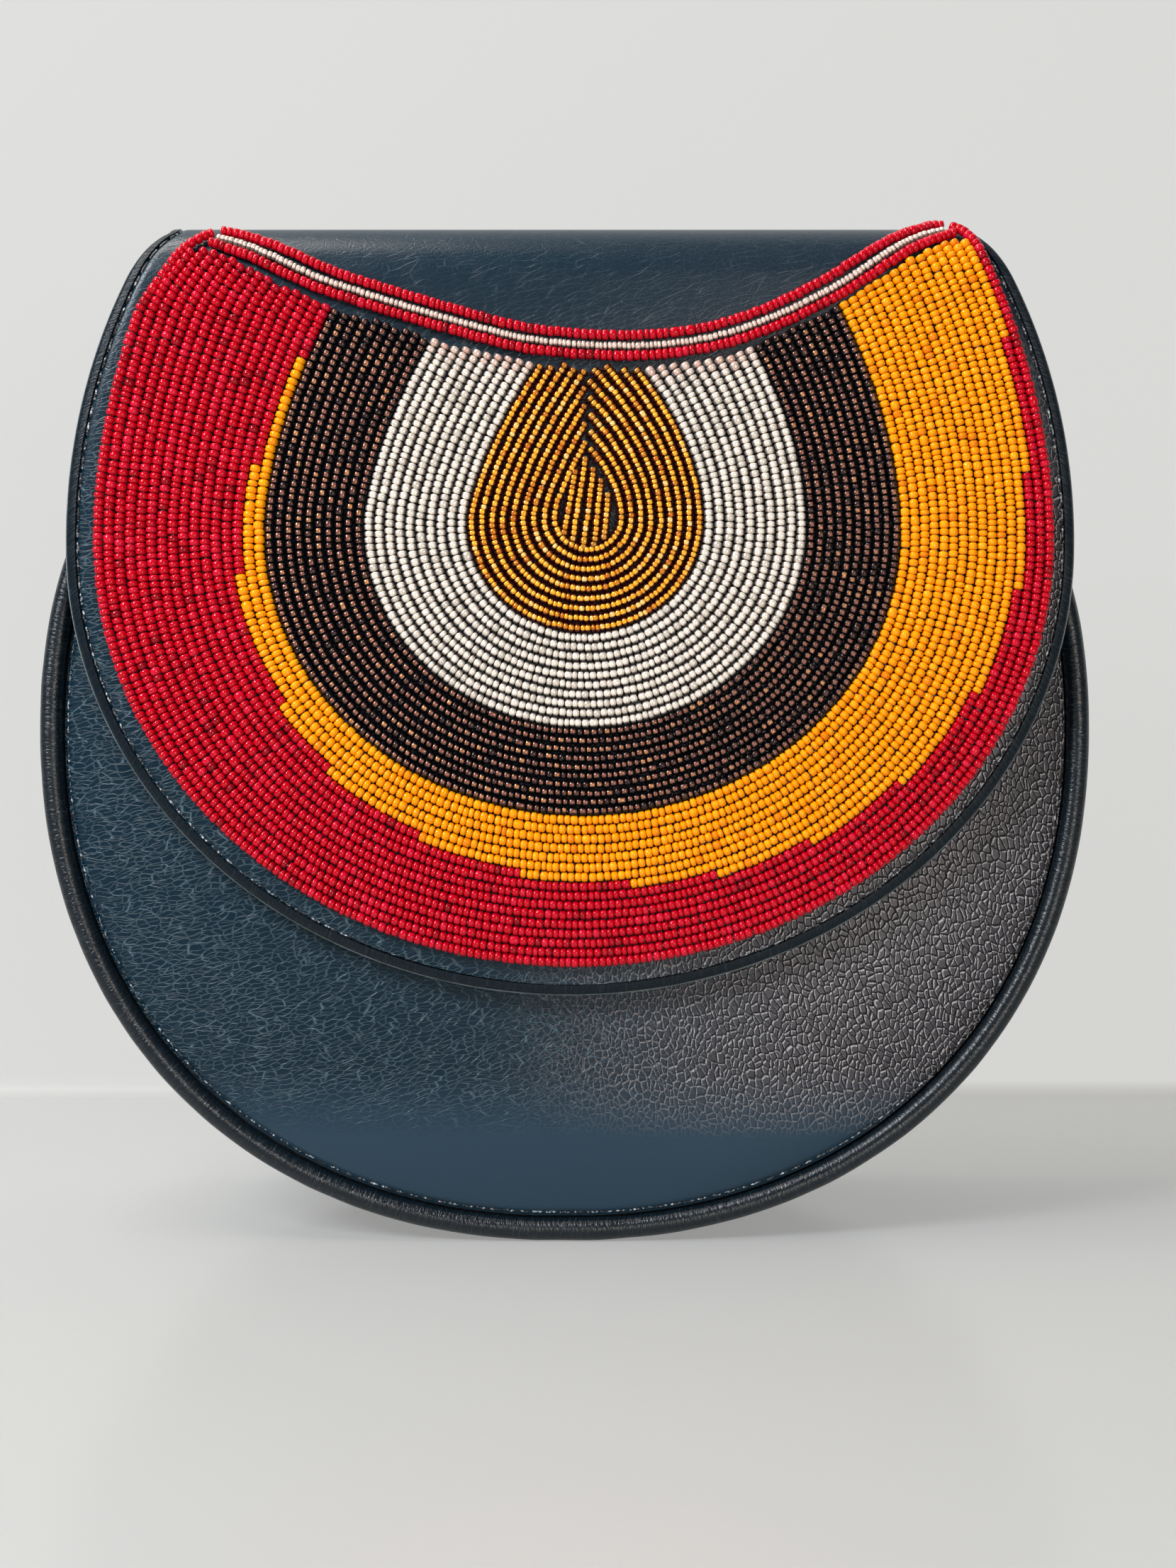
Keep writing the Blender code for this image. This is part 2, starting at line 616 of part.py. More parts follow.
def loop_end_angle(line, right):
    """Angle where a loop meets the neckline, the top roll or its own axis."""
    axis = 0.5 * (line[0] + line[1])
    low, high = (math.pi, 1.5 * math.pi) if right else (0.0, -0.5 * math.pi)
    for _ in range(SEARCH_STEPS):
        angle = 0.5 * (low + high)
        x, along = loop_point(line, angle)
        limit = neckline_height(x) - NECKLINE_SPACING - 0.5 * BEAD_DIAMETER - NECKLINE_MARGIN
        free = along < min(limit, BEAD_TOP) and abs(x - axis) > LOOP_AXIS_GAP
        low, high = (angle, high) if free else (low, angle)
    return low


def band_lines():
    """Left, right, bottom and widest level of each line between the colour bands, from the innermost out."""
    lines = [(INNER_LOOP_LEFT, INNER_LOOP_RIGHT, INNER_LOOP_BOTTOM, INNER_LOOP_WIDEST)]
    total = GOLD_ROWS + SILVER_ROWS + BROWN_ROWS + OUTER_ROWS
    done = 0
    bands = ((GOLD_ROWS, GOLD_PITCH), (SILVER_ROWS, SILVER_PITCH), (BROWN_ROWS, BROWN_PITCH),
             (OUTER_ROWS, OUTER_PITCH))
    for rows, (left_pitch, right_pitch, bottom_pitch) in bands:
        left, right, bottom, _ = lines[-1]
        done += rows
        widest = lerp(INNER_LOOP_WIDEST, OUTER_LOOP_WIDEST, done / total)
        lines.append((left - rows * left_pitch, right + rows * right_pitch,
                      bottom - rows * bottom_pitch, widest))
    return lines


def band_spot(inner, outer, share, step_share):
    """(x, distance along) in a band: share goes across it and step_share goes along its rows."""
    line = tuple(lerp(low, high, share) for low, high in zip(inner, outer))
    angle = lerp(loop_end_angle(line, False), loop_end_angle(line, True), step_share)
    return loop_point(line, angle)


def loop_step_shares():
    """Shares along the rows, closer together at both ends."""
    return [0.5 - 0.5 * math.cos(math.pi * step / LOOP_STEPS) for step in range(LOOP_STEPS + 1)]


def make_band(name, inner, outer, material, columns=2):
    """Field of beads between two loops, as a slab on the leather."""
    edge = 0.5 * TOUCH_GAP / (inner[2] - outer[2])
    low_grid, high_grid = [], []
    for step_share in loop_step_shares():
        low_row, high_row = [], []
        for column in range(columns + 1):
            x, along = band_spot(inner, outer, lerp(edge, 1.0 - edge, column / columns), step_share)
            low_row.append(flap_point(x, along, -TOUCH_GAP))
            high_row.append(flap_point(x, along, -TOUCH_GAP - BEAD_DIAMETER))
        low_grid.append(low_row)
        high_grid.append(high_row)
    return sheet_solid(name, low_grid, high_grid, material)


def yellow_from(row):
    """Share along a row of the outer group where its beads turn from red to yellow; the last row stays red."""
    if row == OUTER_ROWS - 1:
        return 1.0
    return lerp(YELLOW_START_SHARE, YELLOW_END_SHARE, row / (OUTER_ROWS - 2))


def make_outer_field(name, inner, outer, belongs, material):
    """Beads of one colour in the outer group: a slab with a rib for each row, made of the grid cells that
    belong(row, middle of the step) picks. Where it meets another field it draws back by half the gap."""
    shares = loop_step_shares()
    steps, columns = LOOP_STEPS, 2 * OUTER_ROWS
    side_shift = 0.5 * TOUCH_GAP / (inner[2] - outer[2])
    end_shift = TOUCH_GAP / (math.pi * (outer[1] - outer[0]))
    builder = bmesh.new()
    corners = {}

    def taken(step, column):
        """Whether a cell is part of the field."""
        if not (0 <= step < steps and 0 <= column < columns):
            return False
        return belongs(column // 2, 0.5 * (shares[step] + shares[step + 1]))

    def corner(step, column):
        """Lower and upper vertex of a corner of the grid."""
        if (step, column) not in corners:
            before = taken(step - 1, column - 1) or taken(step - 1, column)
            after = taken(step, column - 1) or taken(step, column)
            inside = taken(step - 1, column - 1) or taken(step, column - 1)
            outside = taken(step - 1, column) or taken(step, column)
            x, along = band_spot(inner, outer, column / columns + side_shift * (outside - inside),
                                 shares[step] + end_shift * (after - before))
            height = BEAD_DIAMETER if column % 2 else BEAD_DIAMETER - ROW_RELIEF
            corners[step, column] = [builder.verts.new(flap_point(x, along, -TOUCH_GAP - rise))
                                     for rise in (0.0, height)]
        return corners[step, column]

    for step in range(steps):
        for column in range(columns):
            if not taken(step, column):
                continue
            around = [corner(step, column), corner(step, column + 1), corner(step + 1, column + 1),
                      corner(step + 1, column)]
            for level in (0, 1):
                builder.faces.new([spot[level] for spot in around])
            neighbours = ((step - 1, column), (step, column + 1), (step + 1, column), (step, column - 1))
            for index, neighbour in enumerate(neighbours):
                if not taken(*neighbour):
                    near, far = around[index], around[(index + 1) % 4]
                    builder.faces.new((near[0], far[0], far[1], near[1]))
    return add_object(name, builder, material)


def make_centre_field(line, material):
    """Short upright rows inside the innermost loop, as a slab."""
    left, right, bottom, widest = line
    half_width = 0.5 * (right - left)
    axis = 0.5 * (left + right)
    top = widest + loop_upper_reach(half_width, True)

    def width_at(along, on_right):
        """How far the field reaches to one side at a distance along the leather."""
        if along < widest:
            share = math.sqrt(1.0 - ((widest - along) / (widest - bottom)) ** 2)
        else:
            rise = (along - widest) / loop_upper_reach(half_width, on_right)
            share = 1.0 - rise ** loop_power(half_width, on_right)
        return max(half_width * share - TOUCH_GAP, 0.5 * TOUCH_GAP)

    low_grid, high_grid = [], []
    for step in range(FLAP_TIP_STEPS + 1):
        angle = math.pi * lerp(CENTRE_END_SHARE, 1.0 - CENTRE_END_SHARE, step / FLAP_TIP_STEPS)
        along = lerp(bottom, top, 0.5 - 0.5 * math.cos(angle))
        xs = (axis - width_at(along, False), axis, axis + width_at(along, True))
        low_grid.append([flap_point(x, along, -TOUCH_GAP) for x in xs])
        high_grid.append([flap_point(x, along, -TOUCH_GAP - BEAD_DIAMETER) for x in xs])
    return sheet_solid("gold_centre_beads", low_grid, high_grid, material)


def make_bead_fields(materials):
    """All the beads: six fields and the three rows of the neckline."""
    lines = band_lines()
    make_band("gold_beads", lines[0], lines[1], materials["gold"])
    make_band("silver_beads", lines[1], lines[2], materials["silver"])
    make_band("brown_beads", lines[2], lines[3], materials["brown"])
    make_outer_field("yellow_beads", lines[3], lines[4], lambda row, share: share >= yellow_from(row),
                     materials["yellow"])
    make_outer_field("red_beads", lines[3], lines[4], lambda row, share: share < yellow_from(row),
                     materials["red"])
    make_centre_field(lines[0], materials["gold"])
    make_neckline_row("neckline_upper_row", NECKLINE_SPACING, materials["red"])
    make_neckline_row("neckline_middle_row", 0.0, materials["silver"])
    make_neckline_row("neckline_lower_row", -NECKLINE_SPACING, materials["red"])


# Magnetic snap

def make_snap(front_panel, front_board, flap_board, flap_lining, material):
    """Socket on the front and stud on the flap, each with a post through the layers into a washer."""
    _, _, normal_y, normal_z = flap_profile(SNAP_FROM_TIP)
    outward = Vector((0.0, normal_y, normal_z))
    flap_face = flap_point(0.0, SNAP_FROM_TIP, FLAP_STACK)
    front_face = flap_face - outward * (SNAP_SPACE - SNAP_CURL)
    hole_radius = POST_RADIUS + TOUCH_GAP
    cut_length = PANEL_STACK + CUTTER_OVERRUN

    washer_low = -(BOARD_DEPTH + WASHER_THICKNESS)
    turned_solid("snap_socket", front_face, outward, [
        (POST_RADIUS, washer_low), (POST_RADIUS, TOUCH_GAP), (SNAP_RADIUS, TOUCH_GAP),
        (SNAP_RADIUS, TOUCH_GAP + SOCKET_HEIGHT), (SOCKET_RECESS_RADIUS, TOUCH_GAP + SOCKET_HEIGHT),
        (SOCKET_RECESS_RADIUS, TOUCH_GAP + SOCKET_HEIGHT - SOCKET_RECESS_DEPTH)], material)
    turned_solid("socket_washer", front_face, outward, [
        (hole_radius, washer_low), (WASHER_RADIUS, washer_low), (WASHER_RADIUS, -BOARD_DEPTH),
        (hole_radius, -BOARD_DEPTH)], material, ring=True)
    cut_round_hole(front_panel, front_face, outward, hole_radius, cut_length)
    cut_round_hole(front_board, front_face, outward, WASHER_RADIUS + TOUCH_GAP, cut_length)

    inward = -outward
    washer_far = -(FLAP_STACK - FLAP_BOARD_DEPTH)
    turned_solid("snap_stud", flap_face, inward, [
        (POST_RADIUS, washer_far), (POST_RADIUS, TOUCH_GAP), (SNAP_RADIUS, TOUCH_GAP),
        (SNAP_RADIUS, TOUCH_GAP + STUD_HEIGHT), (STUD_BOSS_RADIUS, TOUCH_GAP + STUD_HEIGHT),
        (STUD_BOSS_RADIUS, TOUCH_GAP + STUD_HEIGHT + STUD_BOSS_HEIGHT)], material)
    turned_solid("stud_washer", flap_face, inward, [
        (hole_radius, washer_far), (WASHER_RADIUS, washer_far),
        (WASHER_RADIUS, washer_far + WASHER_THICKNESS),
        (hole_radius, washer_far + WASHER_THICKNESS)], material, ring=True)
    cut_round_hole(flap_lining, flap_face, outward, hole_radius, 0.5 * SNAP_SPACE)
    board_middle = flap_point(0.0, SNAP_FROM_TIP, FLAP_BOARD_DEPTH + 0.5 * FLAP_BOARD_THICKNESS)
    cut_round_hole(flap_board, board_middle, outward, WASHER_RADIUS + TOUCH_GAP, cut_length)


# Strap rings

def gusset_spot(side, height, inset):
    """Point in the middle of the gusset's width, at a height and an inset."""
    return Vector((side * half_width_at(height, inset), BODY_MIDDLE_Y, height))


def make_strap_ring(word, side, gusset, gusset_lining, leather, metal):
    """Tab, ring and rivet on one end of the gusset."""
    stack = LEATHER_THICKNESS + TOUCH_GAP + LINING_THICKNESS
    middle = 0.5 * stack
    end = gusset_spot(side, MOUTH_HEIGHT, middle)
    along = (end - gusset_spot(side, MOUTH_HEIGHT - 0.5 * TAB_LENGTH, middle)).normalized()
    outward = Vector((side * along.z, 0.0, -side * along.x))
    bar = end + along * RING_BAR_RISE
    across = Vector((0.0, 1.0, 0.0))

    near, far = [], []
    heights = [MOUTH_HEIGHT - TAB_LENGTH * share for share in (1.0, 0.5, 0.0)]
    for height in heights:
        near.append(gusset_spot(side, height, -TOUCH_GAP))
        far.append(gusset_spot(side, height, -TOUCH_GAP - TAB_THICKNESS))
    turn_radius = RING_WIRE_RADIUS + TOUCH_GAP
    for step in range(TAB_TURN_STEPS + 1):
        angle = math.pi * step / TAB_TURN_STEPS
        spoke = outward * math.cos(angle) + along * math.sin(angle)
        near.append(bar + spoke * turn_radius / math.cos(0.5 * math.pi / TAB_TURN_STEPS))
        far.append(bar + spoke * (turn_radius + TAB_THICKNESS) / math.cos(0.5 * math.pi / TAB_TURN_STEPS))
    for height in reversed(heights):
        near.append(gusset_spot(side, height, stack + TOUCH_GAP))
        far.append(gusset_spot(side, height, stack + TOUCH_GAP + TAB_THICKNESS))
    edges = (-TAB_HALF_WIDTH, TAB_HALF_WIDTH)
    near_rows = [[point + across * edge for edge in edges] for point in near]
    far_rows = [[point + across * edge for edge in edges] for point in far]
    tab = sheet_solid("ring_tab_" + word, near_rows, far_rows, leather)

    reach_direction = outward * math.sin(RING_REST_ANGLE) - along * math.cos(RING_REST_ANGLE)
    face_direction = across.cross(reach_direction)
    path = [Vector((-RING_HALF_WIDTH, 0.0)), Vector((RING_HALF_WIDTH, 0.0))]
    for step in range(RING_BOW_STEPS + 1):
        angle = math.pi * step / RING_BOW_STEPS
        path.append(Vector((RING_HALF_WIDTH * math.cos(angle),
                            RING_ARM + (RING_REACH - RING_ARM) * math.sin(angle))))
    loops = []
    for section in mitred_sections(path, RING_WIRE_RADIUS, WIRE_SIDES, closed=True):
        loops.append([bar + across * u + reach_direction * v + face_direction * w for u, v, w in section])
    loop_solid("ring_" + word, loops, metal, cyclic=True)

    rivet_height = MOUTH_HEIGHT - RIVET_DROP
    rivet_centre = gusset_spot(side, rivet_height, middle)
    lower = gusset_spot(side, rivet_height - 0.5 * RIVET_DROP, middle)
    upper = gusset_spot(side, rivet_height + 0.5 * RIVET_DROP, middle)
    slope = (upper - lower).normalized()
    axis = Vector((side * slope.z, 0.0, -side * slope.x))
    head = middle + TOUCH_GAP + TAB_THICKNESS + TOUCH_GAP
    turned_solid("rivet_" + word, rivet_centre, axis, [
        (RIVET_HEAD_RADIUS, head + RIVET_HEAD_HEIGHT), (RIVET_HEAD_RADIUS, head), (RIVET_SHANK_RADIUS, head),
        (RIVET_SHANK_RADIUS, -head), (RIVET_HEAD_RADIUS, -head),
        (RIVET_HEAD_RADIUS, -head - RIVET_HEAD_HEIGHT)],
        metal)
    for solid in (tab, gusset, gusset_lining):
        cut_round_hole(solid, rivet_centre, axis, RIVET_SHANK_RADIUS + TOUCH_GAP, head + CUTTER_OVERRUN)


def make_body(materials):
    """Shell, linings and pipings of the body; returns the pieces that holes are cut in."""
    leather, piping = materials["leather"], materials["piping"]
    front_panel = make_panel_layer("front_panel", 0.0, LEATHER_THICKNESS, PANEL_INSET, -1, MOUTH_HEIGHT,
                                   leather)
    make_panel_layer("back_panel", 0.0, LEATHER_THICKNESS, PANEL_INSET, 1, BACK_TOP_HEIGHT, leather)
    board = materials["board"]
    board_inset = PANEL_INSET + TOUCH_GAP
    front_board = make_panel_layer("front_board", BOARD_DEPTH, BOARD_THICKNESS, board_inset, -1,
                                   MOUTH_HEIGHT, board)
    make_panel_layer("back_board", BOARD_DEPTH, BOARD_THICKNESS, board_inset, 1, BACK_TOP_HEIGHT, board)
    lining = materials["lining"]
    make_panel_layer("front_lining", LINING_DEPTH, LINING_THICKNESS, LINING_INSET, -1, MOUTH_HEIGHT, lining)
    make_panel_layer("back_lining", LINING_DEPTH, LINING_THICKNESS, LINING_INSET, 1, BACK_TOP_HEIGHT, lining)
    gusset = make_gusset("gusset", 0.0, LEATHER_THICKNESS, PIPING_RADIUS + TOUCH_GAP, leather)
    lining_edge = PANEL_STACK - 0.5 * LEATHER_THICKNESS + TOUCH_GAP
    gusset_lining = make_gusset("gusset_lining", LEATHER_THICKNESS + TOUCH_GAP, LINING_THICKNESS, lining_edge,
                                lining)
    make_piping("front_piping", -1, piping)
    make_piping("back_piping", 1, piping)
    make_mouth_binding(piping)
    make_back_strip("back_facing", PANEL_STACK + TOUCH_GAP, TRIM_THICKNESS, BACK_TOP_HALF_WIDTH,
                    BACK_TOP_HEIGHT - FACING_HEIGHT, BACK_TOP_HEIGHT, leather)
    make_back_strip("flap_anchor", -TOUCH_GAP - LEATHER_THICKNESS, LEATHER_THICKNESS, FLAP_TOP_HALF_WIDTH,
                    HINGE_HEIGHT - ANCHOR_HEIGHT, HINGE_HEIGHT - 0.5 * TOUCH_GAP, leather)
    return front_panel, front_board, gusset, gusset_lining


def make_flap(materials):
    """Leather, board, lining and rolled edge of the flap; returns the pieces that holes are cut in."""
    inset = FLAP_BINDING_WIDTH + TOUCH_GAP
    make_flap_layer("flap_leather", 0.0, LEATHER_THICKNESS, inset, FLAP_LENGTH, materials["leather"])
    flap_board = make_flap_layer("flap_board", FLAP_BOARD_DEPTH, FLAP_BOARD_THICKNESS, FLAP_BOARD_INSET,
                                 FRONT_LENGTH, materials["board"])
    flap_lining = make_flap_layer("flap_lining", FLAP_LINING_DEPTH, LINING_THICKNESS, inset,
                                  FLAP_LENGTH - FLAP_LINING_SETBACK, materials["lining"])
    make_flap_binding(materials["piping"])
    return flap_board, flap_lining


def main():
    """Build every piece of the bag."""
    for old in list(bpy.data.objects):
        bpy.data.objects.remove(old, do_unlink=True)
    materials = {
        "leather": make_material("pebbled_leather", (0.022, 0.03, 0.035), 0.5),
        "piping": make_material("edge_leather", (0.015, 0.02, 0.024), 0.4),
        "board": make_material("stiffening_board", (0.25, 0.21, 0.16), 0.9),
        "lining": make_material("cotton_lining", (0.03, 0.03, 0.035), 0.9),
        "red": make_material("red_beads", (0.50, 0.004, 0.014), 0.2),
        "yellow": make_material("yellow_beads", (0.95, 0.36, 0.01), 0.2),
        "brown": make_material("brown_beads", (0.07, 0.02, 0.012), 0.15),
        "silver": make_material("silver_beads", (0.75, 0.73, 0.68), 0.12),
        "gold": make_material("gold_beads", (0.55, 0.25, 0.02), 0.12),
        "metal": make_material("nickel_hardware", (0.65, 0.64, 0.62), 0.25, 1.0),
    }
    front_panel, front_board, gusset, gusset_lining = make_body(materials)
    flap_board, flap_lining = make_flap(materials)
    make_bead_fields(materials)
    make_snap(front_panel, front_board, flap_board, flap_lining, materials["metal"])
    for word, side in (("left", -1), ("right", 1)):
        make_strap_ring(word, side, gusset, gusset_lining, materials["leather"], materials["metal"])


main()
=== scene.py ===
"""Round leather crossbody bag with a beaded flap, dressed over its solid model.

Every piece is a surface worked out on whole arrays in metres, in the model's own frame: +X to the right as seen
from the front, +Y to the back, +Z up, with the origin on the floor under the middle of the bag.
"""
from __future__ import annotations

import logging
import math
from dataclasses import dataclass, field
from enum import Enum
from typing import Any

import bpy
import numpy as np
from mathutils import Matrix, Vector

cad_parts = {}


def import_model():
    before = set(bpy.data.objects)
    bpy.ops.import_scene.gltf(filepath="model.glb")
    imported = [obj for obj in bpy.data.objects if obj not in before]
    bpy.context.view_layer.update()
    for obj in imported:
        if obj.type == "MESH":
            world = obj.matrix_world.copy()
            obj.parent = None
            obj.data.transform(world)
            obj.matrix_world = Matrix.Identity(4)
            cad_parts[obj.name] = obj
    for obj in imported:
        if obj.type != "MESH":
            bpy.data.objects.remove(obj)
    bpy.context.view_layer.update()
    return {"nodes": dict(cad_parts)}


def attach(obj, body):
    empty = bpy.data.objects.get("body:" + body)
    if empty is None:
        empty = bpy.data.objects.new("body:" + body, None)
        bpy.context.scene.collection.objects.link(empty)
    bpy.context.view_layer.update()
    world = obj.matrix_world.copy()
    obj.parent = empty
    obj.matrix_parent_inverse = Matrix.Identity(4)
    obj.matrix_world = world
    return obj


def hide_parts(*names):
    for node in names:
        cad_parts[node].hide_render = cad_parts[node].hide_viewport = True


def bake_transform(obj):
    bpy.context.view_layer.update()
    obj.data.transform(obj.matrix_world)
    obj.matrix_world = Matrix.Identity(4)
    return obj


MM = 0.001
TO_BACK = np.array((0.0, 1.0, 0.0))
Array = np.ndarray
Pair = tuple[float, float]
Pairs = tuple[Pair, ...]
Material = bpy.types.Material
Tree = bpy.types.NodeTree
Node = bpy.types.Node
LOG = logging.getLogger("crossbody_bag")


def lerp(low: Any, high: Any, share: Any) -> Any:
    """Value at a share of the way from low to high."""
    return low + (high - low) * share


def unit(vectors: Array) -> Array:
    """Vectors scaled to length one."""
    return vectors / np.linalg.norm(vectors, axis=-1, keepdims=True)


def smooth_step(value: Array, low: float, high: float) -> Array:
    """0 below low and 1 above high, with an S-shaped rise 3t2 - 2t3 between."""
    share = np.clip((value - low) / (high - low), 0.0, 1.0)
    return share * share * (3.0 - 2.0 * share)


def columns(*parts: Any) -> Array:
    """Arrays and numbers side by side along a new last axis, as the coordinates of points."""
    return np.stack(np.broadcast_arrays(*parts), axis=-1)


def distances(path: Array) -> Array:
    """Distance of each point of a path from its start, measured along it."""
    return np.concatenate([[0.0], np.cumsum(np.linalg.norm(np.diff(path, axis=0), axis=1))])


def linear(code: str) -> tuple[float, float, float, float]:
    """Linear colour of an sRGB hex code.

    Args:
        code: Six hex digits after a hash sign.

    Returns:
        Red, green, blue and an alpha of one.
    """
    parts = [int(code[start:start + 2], 16) / 255.0 for start in (1, 3, 5)]
    return (*(part / 12.92 if part <= 0.04045 else ((part + 0.055) / 1.055) ** 2.4 for part in parts), 1.0)


def resampled(path: Array, step: float) -> Array:
    """Points at equal distances along a path.

    Args:
        path: Points of the path, one per row.
        step: Wanted distance between points; the real one divides the length evenly.

    Returns:
        The new points, with the path's two ends.
    """
    lengths = distances(path)
    places = np.linspace(0.0, lengths[-1], max(int(round(lengths[-1] / step)), 2) + 1)
    return columns(*(np.interp(places, lengths, column) for column in path.T))


def smoothed(places: Array, reach: float, step: float = 0.25 * MM) -> Array:
    """Path with its corners rounded: each point is the mean of the path up to a reach on both sides.

    Args:
        places: Points of the path, one per row.
        reach: How far the mean reaches to each side.
        step: Distance between the new points.

    Returns:
        The new points; the two ends stay.
    """
    path = resampled(places, step)
    count = int(round(reach / step))
    padded = np.concatenate([2.0 * path[0] - path[count:0:-1], path, 2.0 * path[-1] - path[-2:-count - 2:-1]])
    kernel = np.full(2 * count + 1, 1.0 / (2 * count + 1))
    return columns(*(np.convolve(column, kernel, "valid") for column in padded.T))


# Surfaces

@dataclass
class Surface:
    """Quads of one piece, with pattern coordinates at their corners and two numbers for each point.

    The pattern coordinates are metres across and along the piece, or shares round and along a bead. The shade is
    a number from 0 to 1 that varies from bead to bead, and the tail rises to 1 at the end of a row.
    """

    points: Array
    faces: Array
    pattern: Array
    shade: Array | None = None
    tail: Array | None = None

    def turned_out(self) -> Surface:
        """Face the quads outwards: a negative sum of their signed volumes turns them all round.

        Returns:
            This surface.
        """
        corners = self.points[self.faces]
        first, second = corners[:, 2] - corners[:, 0], corners[:, 3] - corners[:, 1]
        centre = corners.mean(axis=1)
        if np.einsum("ij,ij->i", np.cross(first, second), centre).sum() < 0.0:
            self.faces = self.faces[:, ::-1]
            self.pattern = self.pattern[:, ::-1]
        return self

    def joined(self, other: Surface) -> Surface:
        """This surface and another as one."""
        def both(mine: Array | None, theirs: Array | None) -> Array | None:
            """The two arrays end to end, if both exist."""
            return None if mine is None or theirs is None else np.concatenate([mine, theirs])
        return Surface(np.concatenate([self.points, other.points]),
                       np.concatenate([self.faces, other.faces + len(self.points)]),
                       np.concatenate([self.pattern, other.pattern]),
                       both(self.shade, other.shade), both(self.tail, other.tail))

    def to_object(self, name: str, material: Material, sharp: float = 40.0) -> bpy.types.Object:
        """Make the mesh object.

        Args:
            name: Name of the piece.
            material: Its finish.
            sharp: Angle in degrees above which an edge stays sharp.

        Returns:
            The object, at the origin.
        """
        mesh = bpy.data.meshes.new(name)
        mesh.vertices.add(len(self.points))
        mesh.vertices.foreach_set("co", self.points.astype(np.float32).ravel())
        mesh.loops.add(self.faces.size)
        mesh.loops.foreach_set("vertex_index", self.faces.astype(np.int32).ravel())
        mesh.polygons.add(len(self.faces))
        mesh.polygons.foreach_set("loop_start", np.arange(0, self.faces.size, 4, dtype=np.int32))
        mesh.update(calc_edges=True)
        mesh.validate()
        layer = mesh.uv_layers.new(name="pattern")
        layer.data.foreach_set("uv", self.pattern.astype(np.float32).ravel())
        for label, values in (("shade", self.shade), ("tail", self.tail)):
            if values is not None:
                mesh.attributes.new(label, "FLOAT", "POINT").data.foreach_set("value", values.astype(np.float32))
        mesh.shade_smooth()
        if sharp < 180.0:
            mesh.set_sharp_from_angle(angle=math.radians(sharp))
        mesh.materials.append(material)
        piece = bpy.data.objects.new(name, mesh)
        bpy.context.scene.collection.objects.link(piece)
        return piece


def layered(outer: Array, inner: Array, across: Array, along: Array) -> Surface:
    """Closed sheet between two grids: quads on both, and a strip of quads round their common border.

    Args:
        outer: Rows by columns of points on one side.
        inner: The matching points on the other side.
        across: Pattern coordinate across the piece, for each grid point or each column.
        along: Pattern coordinate along it, for each grid point or each row.

    Returns:
        The closed surface.
    """
    count = outer.shape[0] * outer.shape[1]
    index = np.arange(count).reshape(outer.shape[:2])
    near = columns(index[:-1, :-1], index[:-1, 1:], index[1:, 1:], index[1:, :-1]).reshape(-1, 4)
    rim = np.concatenate([index[0, :-1], index[:-1, -1], index[-1, :0:-1], index[:0:-1, 0]])
    after = np.roll(rim, -1)
    border = columns(after, rim, rim + count, after + count)
    faces = np.concatenate([near, near[:, ::-1] + count, border])
    spots = np.tile(columns(across, along).reshape(-1, 2), (2, 1))
    points = np.concatenate([outer.reshape(-1, 3), inner.reshape(-1, 3)])
    return Surface(points, faces, spots[faces]).turned_out()


def cap_quads(ring: Array) -> Array:
    """Quads that close a ring of an even number of points: each joins two points to the two across from them."""
    low = np.arange(len(ring) // 2 - 1)
    return columns(ring[low], ring[low + 1], ring[-2 - low], ring[-1 - low])


def skinned(rings: Array, lengths: Array, girth: Array, closed: bool = False) -> Surface:
    """Closed skin over a row of closed rings, capped at both ends unless the row is closed too.

    Args:
        rings: Rings by points of each ring, an even number.
        lengths: Pattern coordinate of each ring, with one more value when closed.
        girth: Pattern coordinate round a ring, with one more value than it has points.
        closed: Whether the last ring joins the first.

    Returns:
        The closed surface.
    """
    count, size = rings.shape[:2]
    spans = count if closed else count - 1
    row, column = np.meshgrid(np.arange(spans), np.arange(size), indexing="ij")
    steps = ((0, 0), (0, 1), (1, 1), (1, 0))
    faces = columns(*(((row + down) % count) * size + (column + right) % size for down, right in steps))
    pattern = np.stack([columns(girth[column + right], lengths[row + down]) for down, right in steps], axis=-2)
    faces, pattern = faces.reshape(-1, 4), pattern.reshape(-1, 4, 2)
    if not closed:
        first, last = np.arange(size), np.arange(size) + (count - 1) * size
        caps = np.concatenate([cap_quads(first)[:, ::-1], cap_quads(last)])
        spots = columns(girth[caps % size], lengths[caps // size])
        faces, pattern = np.concatenate([faces, caps]), np.concatenate([pattern, spots])
    return Surface(rings.reshape(-1, 3), faces, pattern).turned_out()


def tube(path: Array, first: Array, second: Array, radius: Any, sides: int, closed: bool = False) -> Surface:
    """Round tube: at each point of the path a circle, radius x (cos a x first + sin a x second).

    Args:
        path: Points of its middle line.
        first: Unit direction across the path at each point, or one for all.
        second: The other direction across.
        radius: One radius, or one for each point.
        sides: Number of points round the tube, even.
        closed: Whether the path closes on itself.

    Returns:
        The closed surface.
    """
    turn = 2.0 * np.pi * (np.arange(sides) + 0.5) / sides
    radii = np.broadcast_to(np.asarray(radius, float), len(path))[:, None, None]
    spokes = (np.cos(turn)[None, :, None] * np.broadcast_to(first, path.shape)[:, None]
              + np.sin(turn)[None, :, None] * np.broadcast_to(second, path.shape)[:, None])
    rings = path[:, None] + radii * spokes
    lengths = distances(np.concatenate([path, path[:1]]) if closed else path)
    girth = np.linspace(0.0, 2.0 * np.pi * float(np.mean(radii)), sides + 1)
    return skinned(rings, lengths, girth, closed)


